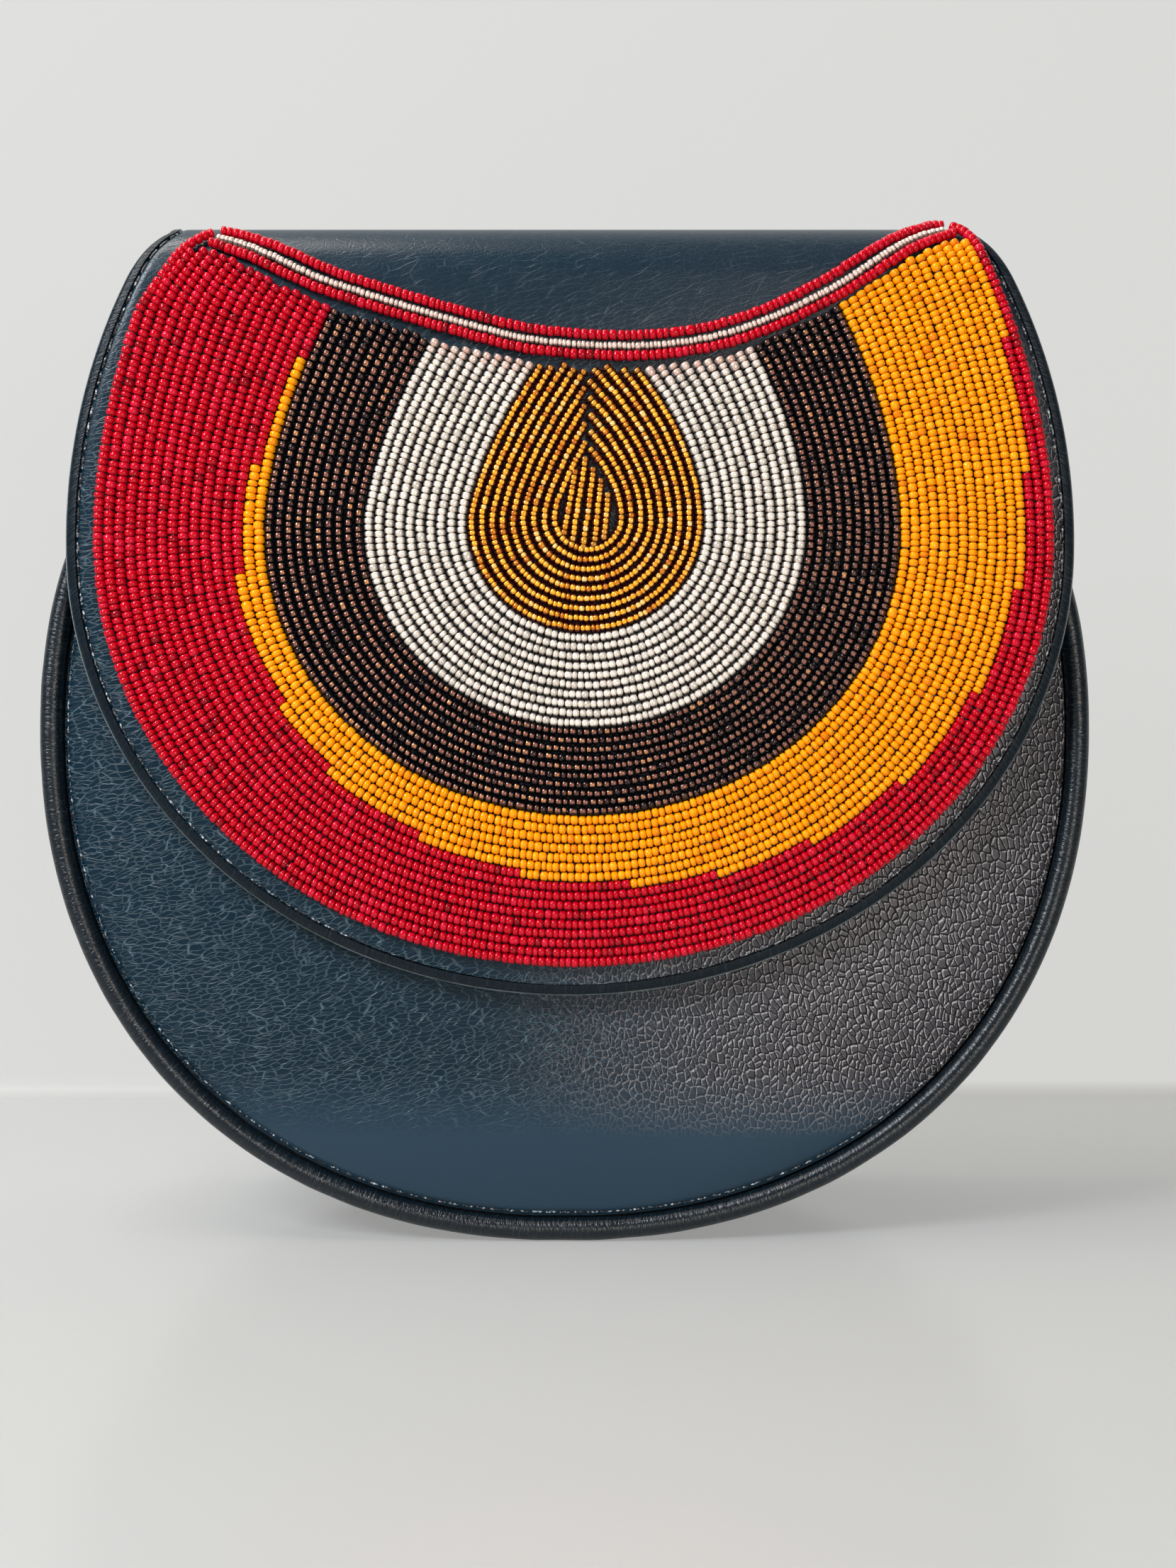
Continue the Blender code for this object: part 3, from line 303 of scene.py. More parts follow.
def lathed(origin: Array, axis: Array, profile: list[Pair], sides: int = 48) -> Surface:
    """Solid of revolution: each (radius, distance) of the profile becomes a circle round the axis.

    Args:
        origin: Point where the distance along the axis is zero.
        axis: Unit direction of the axis.
        profile: Radii and distances, from one end to the other.
        sides: Points round each circle, even.

    Returns:
        The closed surface.
    """
    side = unit(np.cross(axis, np.array([1.0, 0.3, 0.1])))
    up = np.cross(axis, side)
    turn = 2.0 * np.pi * np.arange(sides) / sides
    spokes = np.cos(turn)[:, None] * side + np.sin(turn)[:, None] * up
    rings = np.stack([origin + axis * along + radius * spokes for radius, along in profile])
    reach = max(radius for radius, _ in profile)
    girth = np.linspace(0.0, 2.0 * np.pi * reach, sides + 1)
    return skinned(rings, np.linspace(0.0, reach, len(profile)), girth)


@dataclass(frozen=True)
class Grain:
    """Small barrel that is repeated along a thread: a bead or a stitch."""

    sides: int
    profile: Pairs

    def template(self) -> tuple[Array, Array, Array]:
        """One grain of length 1 along x and radius 1, with its outward side at +z.

        Returns:
            Points, quads and the pattern coordinates of the quads' corners, as shares round and along it.
        """
        turn = 2.0 * np.pi * (np.arange(self.sides) + 0.5) / self.sides
        rings = np.stack([columns(along, radius * np.sin(turn), -radius * np.cos(turn))
                          for along, radius in self.profile])
        girth = (np.arange(self.sides + 1) + 0.5) / self.sides
        lengths = np.array([along + 0.5 for along, _ in self.profile])
        shape = skinned(rings, lengths, girth)
        return shape.points, shape.faces, shape.pattern

    def strung(self, starts: Array, ends: Array, outward: Array, wide: Array, high: Array, shade: Array,
               tail: Array) -> Surface:
        """Grains between pairs of points: point = middle + t x length + b x wide + n x high of the template.

        Args:
            starts: Where each grain starts.
            ends: Where each grain ends.
            outward: Direction away from the leather at each grain.
            wide: Half width of each grain along the leather.
            high: Half height of each grain.
            shade: Number from 0 to 1 for each grain.
            tail: 1 at the end of a row and 0 elsewhere, for each grain.

        Returns:
            All the grains as one surface.
        """
        points, faces, pattern = self.template()
        along = ends - starts
        length = np.linalg.norm(along, axis=1)
        thread = along / length[:, None]
        beside = unit(np.cross(outward, thread))
        above = np.cross(thread, beside)
        spots = (0.5 * (starts + ends)[:, None]
                 + thread[:, None] * (length[:, None] * points[:, 0])[..., None]
                 + beside[:, None] * (wide[:, None] * points[:, 1])[..., None]
                 + above[:, None] * (high[:, None] * points[:, 2])[..., None])
        count, size = len(starts), len(points)
        every = faces[None] + (np.arange(count) * size)[:, None, None]
        return Surface(spots.reshape(-1, 3), every.reshape(-1, 4), np.tile(pattern, (count, 1, 1)),
                       np.repeat(shade, size), np.repeat(tail, size)).turned_out()


BEAD_GRAIN = Grain(10, ((-0.48, 0.58), (-0.30, 1.0), (0.30, 1.0), (0.48, 0.58)))
STITCH_GRAIN = Grain(6, ((-0.5, 0.35), (-0.34, 0.85), (0.0, 1.0), (0.34, 0.85), (0.5, 0.35)))


# Finishes

def fill(tree: Tree, node: Node, inputs: dict[Any, Any]) -> None:
    """Set inputs of a node.

    Args:
        tree: Node tree that the node is in.
        node: The node.
        inputs: For each input, by name or number, a node or socket to link, a hex colour or another constant.
    """
    for key, value in inputs.items():
        if isinstance(value, Node):
            value = next(output for output in value.outputs if output.enabled)
        if isinstance(value, bpy.types.NodeSocket):
            tree.links.new(value, node.inputs[key])
        else:
            node.inputs[key].default_value = linear(value) if isinstance(value, str) else value


def add_node(tree: Tree, kind: str, inputs: dict[Any, Any] | None = None,
             steps: tuple[tuple[float, str], ...] = (), **settings: Any) -> Node:
    """Add one node with its settings, constants and links.

    Args:
        tree: Node tree that gets the node.
        kind: Type of the node, without its prefix.
        inputs: What its inputs get.
        steps: Position and hex colour of each step of a colour ramp.
        settings: Attributes of the node.

    Returns:
        The new node.
    """
    node = tree.nodes.new("ShaderNode" + kind)
    for name, value in settings.items():
        setattr(node, name, value)
    if steps:
        elements = node.color_ramp.elements
        while len(elements) < len(steps):
            elements.new(0.5)
        for element, (position, code) in zip(elements, steps):
            element.position, element.color = position, linear(code)
    fill(tree, node, inputs or {})
    return node


def new_finish(name: str) -> tuple[Material, Tree, Node]:
    """Make an empty finish.

    Args:
        name: Name of the finish.

    Returns:
        The material, its node tree and its surface shader.
    """
    material = bpy.data.materials.new(name)
    material.use_nodes = True
    tree = material.node_tree
    return material, tree, tree.nodes["Principled BSDF"]


@dataclass(frozen=True)
class CreasedLeather:
    """Box-calf type leather, chrome tanned, pressed with a fine grain and finished semi-gloss.

    The eye sees a near-black skin with a net of thin creases. On the cool left half they are long and nearly level,
    and their pale colour is a painted highlight. On the front's right half the skin is a lighter warm grey, a painted
    reflection of the room's light, and the creases are painted shade, dark between upright grey cells whose rims carry
    painted glints. Near the foot the skin turns bluish, a painted reflection of the floor. The creases fade out
    towards the foot and over the top, where the skin is drawn smooth. They are drawn 0.2 mm wide, so that they show.
    Each fade is the pair of places between which one look goes over into the next: heights for the foot and the top,
    places across for the painted sheen of the right half, and places from front to back for the end of that half.
    """

    name: str = "pebbled_leather"
    cool: str = "#05212f"
    # Lighter warm grey of the front's right half: a painted reflection of the room's light
    warm: str = "#3d3b40"
    # Bluish skin near the foot: a painted reflection of the floor
    foot: str = "#263d4d"
    # Pale colour of the left half's creases: a painted highlight
    crease_highlight: str = "#7c98a6"
    # Dark colour of the right half's creases: painted shade
    crease_shade: str = "#040405"
    # Painted glints on the rims of the right half's cells
    glint: str = "#e4e1e2"
    long_cell: float = 2.3 * MM
    fine_cell: float = 1.3 * MM
    upright_cell: float = 1.35 * MM
    pore: float = 0.35 * MM
    wave: float = 6.0 * MM
    wave_reach: float = 2.8 * MM
    patch: float = 5.0 * MM
    relief: float = 0.25 * MM
    foot_fade: Pair = (22.0 * MM, 36.0 * MM)
    top_fade: Pair = (150.0 * MM, 195.0 * MM)
    sheen_fade: Pair = (-20.0 * MM, 55.0 * MM)
    front_fade: Pair = (-10.0 * MM, 20.0 * MM)
    quiet: float = 0.12

    def net(self, tree: Tree, place: Node, cell: float, stretch: Pair, width: float,
            shift: Pair = (0.0, 0.0)) -> Node:
        """Net of creases round cells, as a number that rises to 1 in the creases.

        Args:
            tree: Node tree that gets the nodes.
            place: Pattern coordinates in metres.
            cell: Usual size of a cell.
            stretch: How much longer than that a cell is, across and along.
            width: Width of a crease as a share of the cell.
            shift: Distance by which the net is moved.

        Returns:
            The node that gives the number.
        """
        drawn = add_node(tree, "Mapping", {"Vector": place, "Location": (*shift, 0.0), "Rotation": (0.0, 0.0, 0.2),
                                           "Scale": (*stretch, 1.0)}, vector_type="TEXTURE")
        cells = add_node(tree, "TexVoronoi", {"Vector": drawn, "Scale": 1.0 / cell}, feature="DISTANCE_TO_EDGE",
                         voronoi_dimensions="2D")
        return add_node(tree, "MapRange", {"Value": cells, "From Max": width, "To Min": 1.0, "To Max": 0.0},
                        interpolation_type="SMOOTHSTEP")

    def build(self) -> Material:
        """Make the finish.

        Returns:
            Its material.
        """
        material, tree, shader = new_finish(self.name)
        place = add_node(tree, "TexCoord").outputs["Object"]
        spot = add_node(tree, "SeparateXYZ", {"Vector": place}).outputs
        flat = add_node(tree, "UVMap", uv_map="pattern")
        sway, patches, pores = (add_node(tree, "TexNoise", {"Vector": place, "Scale": 1.0 / size, "Detail": detail})
                                for size, detail in ((self.wave, 2.0), (self.patch, 2.0), (self.pore, 3.0)))
        moved = add_node(tree, "VectorMath", {0: sway.outputs["Color"], 1: (0.5, 0.5, 0.5)}, operation="SUBTRACT")
        warped = add_node(tree, "VectorMath", {0: moved, 1: (self.wave_reach,) * 3, 2: flat}, operation="MULTIPLY_ADD")
        shown = add_node(tree, "MapRange", {"Value": patches, "From Min": 0.38, "From Max": 0.6})
        long_creases = add_node(tree, "Math", {0: self.net(tree, warped, self.long_cell, (3.0, 0.65), 0.065),
                                               1: shown}, operation="MULTIPLY")
        fine_creases = self.net(tree, warped, self.fine_cell, (1.9, 0.7), 0.13)
        pale = add_node(tree, "Math", {0: fine_creases, 1: 0.4, 2: long_creases}, operation="MULTIPLY_ADD",
                        use_clamp=True)
        upright = self.net(tree, warped, self.upright_cell, (0.85, 1.35), 0.15)
        rims = self.net(tree, warped, self.upright_cell, (0.85, 1.35), 0.16, (0.2 * MM, -0.22 * MM))

        soft, over, aside, front = (
            add_node(tree, "MapRange", {"Value": spot[axis], "From Min": fade[0], "From Max": fade[1], "To Min": start,
                                        "To Max": end}, interpolation_type=rise)
            for axis, fade, start, end, rise in (
                ("Z", self.foot_fade, 0.0, 1.0, "LINEAR"), ("Z", self.top_fade, 1.0, self.quiet, "LINEAR"),
                ("X", self.sheen_fade, 0.0, 1.0, "SMOOTHSTEP"), ("Y", self.front_fade, 1.0, 0.0, "LINEAR")))
        sparse = add_node(tree, "MapRange", {"Value": pores, "From Min": 0.36, "From Max": 0.6, "To Min": 0.1,
                                             "To Max": 0.75})
        zone = add_node(tree, "Math", {0: soft, 1: over}, operation="MULTIPLY")
        front_right = add_node(tree, "Math", {0: aside, 1: front}, operation="MULTIPLY")
        right = add_node(tree, "Math", {0: front_right, 1: over}, operation="MULTIPLY")
        left = add_node(tree, "Math", {0: 1.0, 1: right}, operation="SUBTRACT")
        # The right half's lighter skin is a painted reflection of the room's light, and the foot's bluish skin is a
        # painted reflection of the floor
        colour = add_node(tree, "Mix", {0: right, 6: self.cool, 7: self.warm}, data_type="RGBA")
        colour = add_node(tree, "Mix", {0: soft, 6: self.foot, 7: colour}, data_type="RGBA")
        # Painted glints on the cells' rims, painted highlights on the pale creases and painted shade in the dark
        # creases
        for factors, code in (((rims, right, sparse), self.glint), ((pale, left, 0.38), self.crease_highlight),
                              ((upright, right), self.crease_shade)):
            amount = zone
            for factor in factors:
                amount = add_node(tree, "Math", {0: amount, 1: factor}, operation="MULTIPLY")
            colour = add_node(tree, "Mix", {0: amount, 6: colour, 7: code}, data_type="RGBA")
        creases = add_node(tree, "Mix", {0: right, 2: pale, 3: upright})
        drawn = add_node(tree, "Math", {0: creases, 1: zone}, operation="MULTIPLY")
        height = add_node(tree, "Math", {0: pores, 1: 0.12, 2: drawn}, operation="MULTIPLY_ADD")
        bump = add_node(tree, "Bump", {"Strength": 1.0, "Distance": self.relief, "Height": height}, invert=True)
        gloss = add_node(tree, "MapRange", {"Value": sway, "To Min": 0.27, "To Max": 0.38})
        sheen = add_node(tree, "MapRange", {"Value": over, "From Min": self.quiet, "To Min": 0.55, "To Max": 0.34})
        fill(tree, shader, {"Base Color": colour, "Roughness": gloss, "Specular IOR Level": sheen, "Normal": bump,
                            "IOR": 1.42})
        return material


@dataclass(frozen=True)
class StrapLeather:
    """Thin smooth leather, skived and wrapped over a cord or an edge, with a polished finish.

    Being pulled round a bend it shows fine wrinkles that run across the strip. The flap's rolled rim is duller and
    carries a painted highlight, a pale line along its outer edge, whose place and half width are distances round the
    rim.
    """

    name: str = "edge_leather"
    skin: str = "#07131b"
    worn: str = "#2e3a40"
    edge_highlight: str = "#8a979a"
    wrinkle: float = 0.6 * MM
    wrinkle_stretch: float = 0.22
    patch: float = 7.0 * MM
    relief: float = 0.24 * MM
    sheen: float = 0.45
    crest: float = 0.0
    crest_place: float = 3.1 * MM
    crest_half_width: float = 1.1 * MM

    def build(self) -> Material:
        """Make the finish.

        Returns:
            Its material.
        """
        material, tree, shader = new_finish(self.name)
        place = add_node(tree, "UVMap", uv_map="pattern")
        drawn = add_node(tree, "Mapping", {"Vector": place, "Scale": (self.wrinkle_stretch, 1.0, 1.0)})
        wrinkles = add_node(tree, "TexNoise", {"Vector": drawn, "Scale": 1.0 / self.wrinkle, "Detail": 3.0,
                                               "Roughness": 0.6, "Distortion": 0.4})
        patches = add_node(tree, "TexNoise", {"Vector": place, "Scale": 1.0 / self.patch, "Detail": 3.0})
        ridge = add_node(tree, "MapRange", {"Value": wrinkles, "From Min": 0.52, "From Max": 0.75})
        wear = add_node(tree, "Math", {0: ridge, 1: patches}, operation="MULTIPLY")
        wrinkled = add_node(tree, "Mix", {0: wear, 6: self.skin, 7: self.worn}, data_type="RGBA")
        girth = add_node(tree, "SeparateXYZ", {"Vector": place}).outputs["X"]
        # Painted highlight: a pale line along the outer edge of the flap's rolled rim
        outer = add_node(tree, "Math", {0: girth, 1: self.crest_place, 2: self.crest_half_width}, operation="COMPARE")
        highlight_patches = add_node(tree, "Math", {0: patches, 1: self.crest}, operation="MULTIPLY")
        line = add_node(tree, "Math", {0: outer, 1: highlight_patches}, operation="MULTIPLY")
        colour = add_node(tree, "Mix", {0: line, 6: wrinkled, 7: self.edge_highlight}, data_type="RGBA")
        gloss = add_node(tree, "MapRange", {"Value": patches, "To Min": 0.2, "To Max": 0.36})
        bump = add_node(tree, "Bump", {"Strength": 1.0, "Distance": self.relief, "Height": wrinkles})
        fill(tree, shader, {"Base Color": colour, "Roughness": gloss, "Specular IOR Level": self.sheen,
                            "Normal": bump})
        return material


@dataclass(frozen=True)
class TwillLining:
    """Black cotton twill, woven from threads of 0.5 mm; the eye sees matte diagonal ribs, one every 0.9 mm.

    The wave texture repeats every 0.314 m at scale 1.
    """

    name: str = "cotton_lining"
    thread: str = "#26272b"
    gap: str = "#0c0c0e"
    pitch: float = 0.9 * MM

    def build(self) -> Material:
        """Make the finish.

        Returns:
            Its material.
        """
        material, tree, shader = new_finish(self.name)
        place = add_node(tree, "TexCoord").outputs["Object"]
        ribs = add_node(tree, "TexWave", {"Vector": place, "Scale": 0.314 / self.pitch, "Distortion": 0.6,
                                          "Detail": 1.0}, wave_type="BANDS", bands_direction="DIAGONAL").outputs["Fac"]
        colour = add_node(tree, "Mix", {0: ribs, 6: self.gap, 7: self.thread}, data_type="RGBA")
        bump = add_node(tree, "Bump", {"Strength": 0.6, "Distance": 0.1 * MM, "Height": ribs})
        fill(tree, shader, {"Base Color": colour, "Roughness": 0.92, "Sheen Weight": 0.25, "Normal": bump})
        return material


@dataclass(frozen=True)
class Flecked:
    """Finish whose colour goes from one to another by a fine noise, and which is a little rough."""

    name: str
    main: str
    other: str
    grain: float
    detail: float
    low: float
    high: float
    relief: float
    roughness: float

    def build(self) -> Material:
        """Make the finish.

        Returns:
            Its material.
        """
        material, tree, shader = new_finish(self.name)
        place = add_node(tree, "TexCoord").outputs["Object"]
        flecks = add_node(tree, "TexNoise", {"Vector": place, "Scale": 1.0 / self.grain, "Detail": self.detail})
        share = add_node(tree, "MapRange", {"Value": flecks, "From Min": self.low, "From Max": self.high})
        colour = add_node(tree, "Mix", {0: share, 6: self.main, 7: self.other}, data_type="RGBA")
        bump = add_node(tree, "Bump", {"Strength": self.relief, "Distance": 0.1 * MM, "Height": flecks})
        fill(tree, shader, {"Base Color": colour, "Roughness": self.roughness, "Normal": bump})
        return material


# Pressed fibre board, calendered grey-brown and matte, with darker flecks of fibre
FIBRE_BOARD = Flecked("stiffening_board", "#8a7f70", "#5c5244", 1.2 * MM, 5.0, 0.5, 0.7, 0.3, 0.9)
# Bonded nylon thread, three plies twisted and waxed; the eye sees a dark strand with small bluish glints
SEWING_THREAD = Flecked("sewing_thread", "#12161c", "#ccd4dc", 0.6 * MM, 2.0, 0.52, 0.7, 0.5, 0.42)


@dataclass(frozen=True)
class OpaqueBead:
    """Opaque seed-bead glass, drawn, cut and fire polished: one deep colour under a hard glossy skin."""

    name: str
    main: str
    other: str
    deep: str
    streak: float = 0.8 * MM
    tail_share: float = 0.4

    def build(self) -> Material:
        """Make the finish.

        Returns:
            Its material.
        """
        material, tree, shader = new_finish(self.name)
        shade, tail = (add_node(tree, "Attribute", attribute_name=name).outputs["Fac"] for name in ("shade", "tail"))
        place = add_node(tree, "TexCoord").outputs["Object"]
        streak = add_node(tree, "TexNoise", {"Vector": place, "Scale": 1.0 / self.streak, "Detail": 2.0})
        bead = add_node(tree, "ValToRGB", {"Fac": shade},
                        ((0.0, self.deep), (0.08, self.main), (0.78, self.main), (1.0, self.other)))
        ended = add_node(tree, "Math", {0: tail, 1: self.tail_share}, operation="MULTIPLY")
        colour = add_node(tree, "Mix", {0: ended, 6: bead, 7: self.deep}, data_type="RGBA")
        gloss = add_node(tree, "MapRange", {"Value": streak, "To Min": 0.12, "To Max": 0.22})
        fill(tree, shader, {"Base Color": colour, "Roughness": gloss, "IOR": 1.52, "Specular IOR Level": 0.05,
                            "Coat Weight": 0.5, "Coat Roughness": 0.03})
        return material


@dataclass(frozen=True)
class LinedBead:
    """Clear seed-bead glass with a metal lining in its hole, drawn and fire polished.

    The glass enlarges the lining, so the eye sees a bright core along the thread between darker clear edges. The
    core is placed by the angle round the bead, with the side away from the leather in its middle. A core share of
    0.06 makes it two fifths as wide as the bead, and the reach is half its length as a share of the bead's.
    """

    name: str
    dim: str
    core: str
    glint: str
    glass: str
    tailed: str
    core_share: float
    reach: float
    core_fade: float = 1.6
    end_fade: float = 0.07
    sparkle: float = 0.45 * MM
    metal: float = 0.3

    def build(self) -> Material:
        """Make the finish.

        Returns:
            Its material.
        """
        material, tree, shader = new_finish(self.name)
        spot = add_node(tree, "SeparateXYZ", {"Vector": add_node(tree, "UVMap", uv_map="pattern")}).outputs
        shade, tail = (add_node(tree, "Attribute", attribute_name=name).outputs["Fac"] for name in ("shade", "tail"))
        shares = []
        for axis, inner, outer in (("X", self.core_share, self.core_share * self.core_fade),
                                   ("Y", self.reach, self.reach + self.end_fade)):
            centred = add_node(tree, "Math", {0: spot[axis], 1: 0.5}, operation="SUBTRACT")
            off = add_node(tree, "Math", {0: centred}, operation="ABSOLUTE")
            shares.append(add_node(tree, "MapRange", {"Value": off, "From Min": inner, "From Max": outer,
                                                      "To Min": 1.0, "To Max": 0.0},
                                   interpolation_type="SMOOTHSTEP"))
        core = add_node(tree, "Math", {0: shares[0], 1: shares[1]}, operation="MULTIPLY")
        place = add_node(tree, "TexCoord").outputs["Object"]
        sparkle = add_node(tree, "TexNoise", {"Vector": place, "Scale": 1.0 / self.sparkle, "Detail": 2.0})
        mixed = add_node(tree, "Math", {0: sparkle, 1: 0.5, 2: shade}, operation="MULTIPLY_ADD")
        share = add_node(tree, "Math", {0: mixed, 1: 0.667}, operation="MULTIPLY")
        lining = add_node(tree, "ValToRGB", {"Fac": share},
                          ((0.15, self.dim), (0.4, self.core), (0.72, self.core), (0.95, self.glint)))
        aged = add_node(tree, "Mix", {0: tail, 6: lining, 7: self.tailed}, data_type="RGBA")
        colour = add_node(tree, "Mix", {0: core, 6: self.glass, 7: aged}, data_type="RGBA")
        metal = add_node(tree, "Math", {0: core, 1: self.metal}, operation="MULTIPLY")
        fill(tree, shader, {"Base Color": colour, "Metallic": metal, "Roughness": 0.17, "IOR": 1.5,
                            "Specular IOR Level": 0.15, "Coat Weight": 0.5, "Coat Roughness": 0.05})
        return material


@dataclass(frozen=True)
class NickelPlate:
    """Nickel plate on a zinc casting, tumbled bright; the eye sees a warm grey mirror with faint handling marks."""

    name: str = "nickel_hardware"
    metal: str = "#cfcbc2"
    scratch: float = 0.5 * MM

    def build(self) -> Material:
        """Make the finish.

        Returns:
            Its material.
        """
        material, tree, shader = new_finish(self.name)
        place = add_node(tree, "TexCoord").outputs["Object"]
        marks = add_node(tree, "TexNoise", {"Vector": place, "Scale": 1.0 / self.scratch, "Detail": 4.0})
        gloss = add_node(tree, "MapRange", {"Value": marks, "To Min": 0.12, "To Max": 0.34})
        fill(tree, shader, {"Base Color": self.metal, "Roughness": gloss, "Metallic": 1.0})
        return material


@dataclass
class Finishes:
    """Every finish of the bag, made once."""

    leather: Material = field(default_factory=CreasedLeather().build)
    strap: Material = field(default_factory=StrapLeather().build)
    rim: Material = field(default_factory=StrapLeather("rolled_leather", "#0a161e", sheen=0.2, crest=1.0).build)
    lining: Material = field(default_factory=TwillLining().build)
    board: Material = field(default_factory=FIBRE_BOARD.build)
    thread: Material = field(default_factory=SEWING_THREAD.build)
    nickel: Material = field(default_factory=NickelPlate().build)


def settle(piece: bpy.types.Object, body: str, slot: str, *nodes: str) -> None:
    """Fix a piece to a body and hide the solids that it stands for.

    Args:
        piece: The finished piece.
        body: Body that it moves with.
        slot: Not used.
        nodes: Solids that it replaces.
    """
    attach(piece, body)
    if nodes:
        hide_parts(*nodes)
    LOG.info("%s: %d faces on %s", piece.name, len(piece.data.polygons), body)


# Body

@dataclass(frozen=True)
class BodyShape:
    """Sizes of the round body, as in the solid model; the sewn gap is from the back's seam to the flap's outside."""

    half_width: float = 110.0 * MM
    lower_reach: float = 107.5 * MM
    upper_reach: float = 102.5 * MM
    roundness: float = 2.17
    foot_half_width: float = 6.0 * MM
    mouth: float = 160.0 * MM
    back_top: float = 198.0 * MM
    back_top_half_width: float = 85.0 * MM
    middle_y: float = 4.5 * MM
    base_half_depth: float = 29.0 * MM
    lean: float = 0.0375
    bulge: float = 5.0 * MM
    piping_radius: float = 2.4 * MM
    panel_inset: float = 5.1 * MM
    leather: float = 1.4 * MM
    sewn_gap: float = 2.4 * MM

    @property
    def widest(self) -> float:
        """Height of the widest line, where the lower curve reaches the flat foot's half width at the floor."""
        share = (1.0 - (self.foot_half_width / self.half_width) ** self.roundness) ** (1.0 / self.roundness)
        return self.lower_reach * share

    def half_width_at(self, height: Array, inset: float) -> Array:
        """Half width: (half width - inset) x (1 - |height from the widest line / reach| ^ p) ^ (1 / p)."""
        reach = np.where(height < self.widest, self.lower_reach, self.upper_reach) - inset
        share = np.minimum(np.abs(height - self.widest) / reach, 1.0)
        return (self.half_width - inset) * (1.0 - share ** self.roundness) ** (1.0 / self.roundness)

    def side_heights(self, bottom: float, top: float, inset: float, steps: int) -> Array:
        """Heights up the side, at equal turns of reach x sin(angle), so they crowd where it turns under.

        Args:
            bottom: Lowest height.
            top: Highest height.
            inset: Distance inside the outermost line.
            steps: Number of steps between them.

        Returns:
            The heights, from the bottom up.
        """
        lower, upper = self.lower_reach - inset, self.upper_reach - inset
        first = math.asin(max((bottom - self.widest) / lower, -1.0))
        last = math.asin(min((top - self.widest) / upper, 1.0))
        angles = np.linspace(first, last, steps + 1)
        return self.widest + np.where(angles < 0.0, lower, upper) * np.sin(angles)

    def outline(self, inset: float, top: float, steps: int) -> Array:
        """(x, z) points from the right end of the mouth down, along the foot and up to the left end."""
        heights = self.side_heights(inset, top, inset, steps)
        right = columns(self.half_width_at(heights, inset), heights)
        return np.concatenate([right[::-1], right * (-1.0, 1.0)])

    def seam_y(self, height: Array, side: int) -> Array:
        """Y of the front seam (side -1) or back seam (side 1): middle + side x (half depth - lean x height)."""
        return self.middle_y + side * (self.base_half_depth - self.lean * height)

    def panel_half_width(self, height: Array, inset: float) -> Array:
        """Half width of a panel at a height; above the mouth the back goes on with straight sides."""
        share = np.clip((height - self.mouth) / (self.back_top - self.mouth), 0.0, 1.0)
        round_part = self.half_width_at(np.minimum(height, self.mouth), inset)
        return lerp(round_part, self.back_top_half_width - inset + self.panel_inset, share) * (share > 0.0) \
            + round_part * (share <= 0.0)

    def bulge_at(self, x: Array, height: Array) -> Array:
        """How far the front stands out of flat at x and a height: bulge x (1 - aside^4)(1 - level^4)."""
        span = 0.5 * (self.mouth - self.panel_inset)
        level = np.minimum(np.abs(height - self.panel_inset - span) / span, 1.0)
        limit = self.panel_half_width(np.maximum(height, self.panel_inset), self.panel_inset)
        return self.bulge * (1.0 - np.minimum(np.abs(x) / limit, 1.0) ** 4) * (1.0 - level ** 4)

    def panel_points(self, shares: Array, heights: Array, depth: float, inset: float, side: int) -> Array:
        """Grid on a panel: out of the seam by half the leather, less the depth, plus the front's bulge.

        Args:
            shares: Share of the half width for each column.
            heights: Height of each row.
            depth: Distance from the outer face into the bag.
            inset: Distance inside the outermost line of the body.
            side: -1 for the front, 1 for the back.

        Returns:
            Rows by columns of points.
        """
        height, share = np.meshgrid(heights, shares, indexing="ij")
        x = share * self.panel_half_width(height, inset)
        out = 0.5 * self.leather - depth + (self.bulge_at(x, height) if side < 0 else 0.0)
        return columns(x, self.seam_y(height, side) + side * out, height)

    def edge_distance(self, points: Array, inset: float) -> Array:
        """Distance from a panel's round edge: (1 - f) / |gradient of f|, with f = |x/a|^p + |z/c|^p.

        Args:
            points: Points of the panel.
            inset: Distance of its edge inside the outermost line.

        Returns:
            The distance of each point, 0 on the edge and outside it.
        """
        across = np.abs(points[..., 0]) / (self.half_width - inset)
        rise = points[..., 2] - self.widest
        reach = np.where(rise < 0.0, self.lower_reach, self.upper_reach) - inset
        up = np.abs(rise) / reach
        p = self.roundness
        slope = np.hypot(p * across ** (p - 1.0) / (self.half_width - inset), p * up ** (p - 1.0) / reach)
        round_distance = (1.0 - across ** p - up ** p) / np.maximum(slope, 1e-6)
        return np.maximum(np.minimum(round_distance, points[..., 2] - inset), 0.0)


def wide_shares(steps: int) -> Array:
    """Column shares sin(angle) from -1 to 1, close together at the edges."""
    return np.sin(np.linspace(-0.5 * np.pi, 0.5 * np.pi, steps + 1))


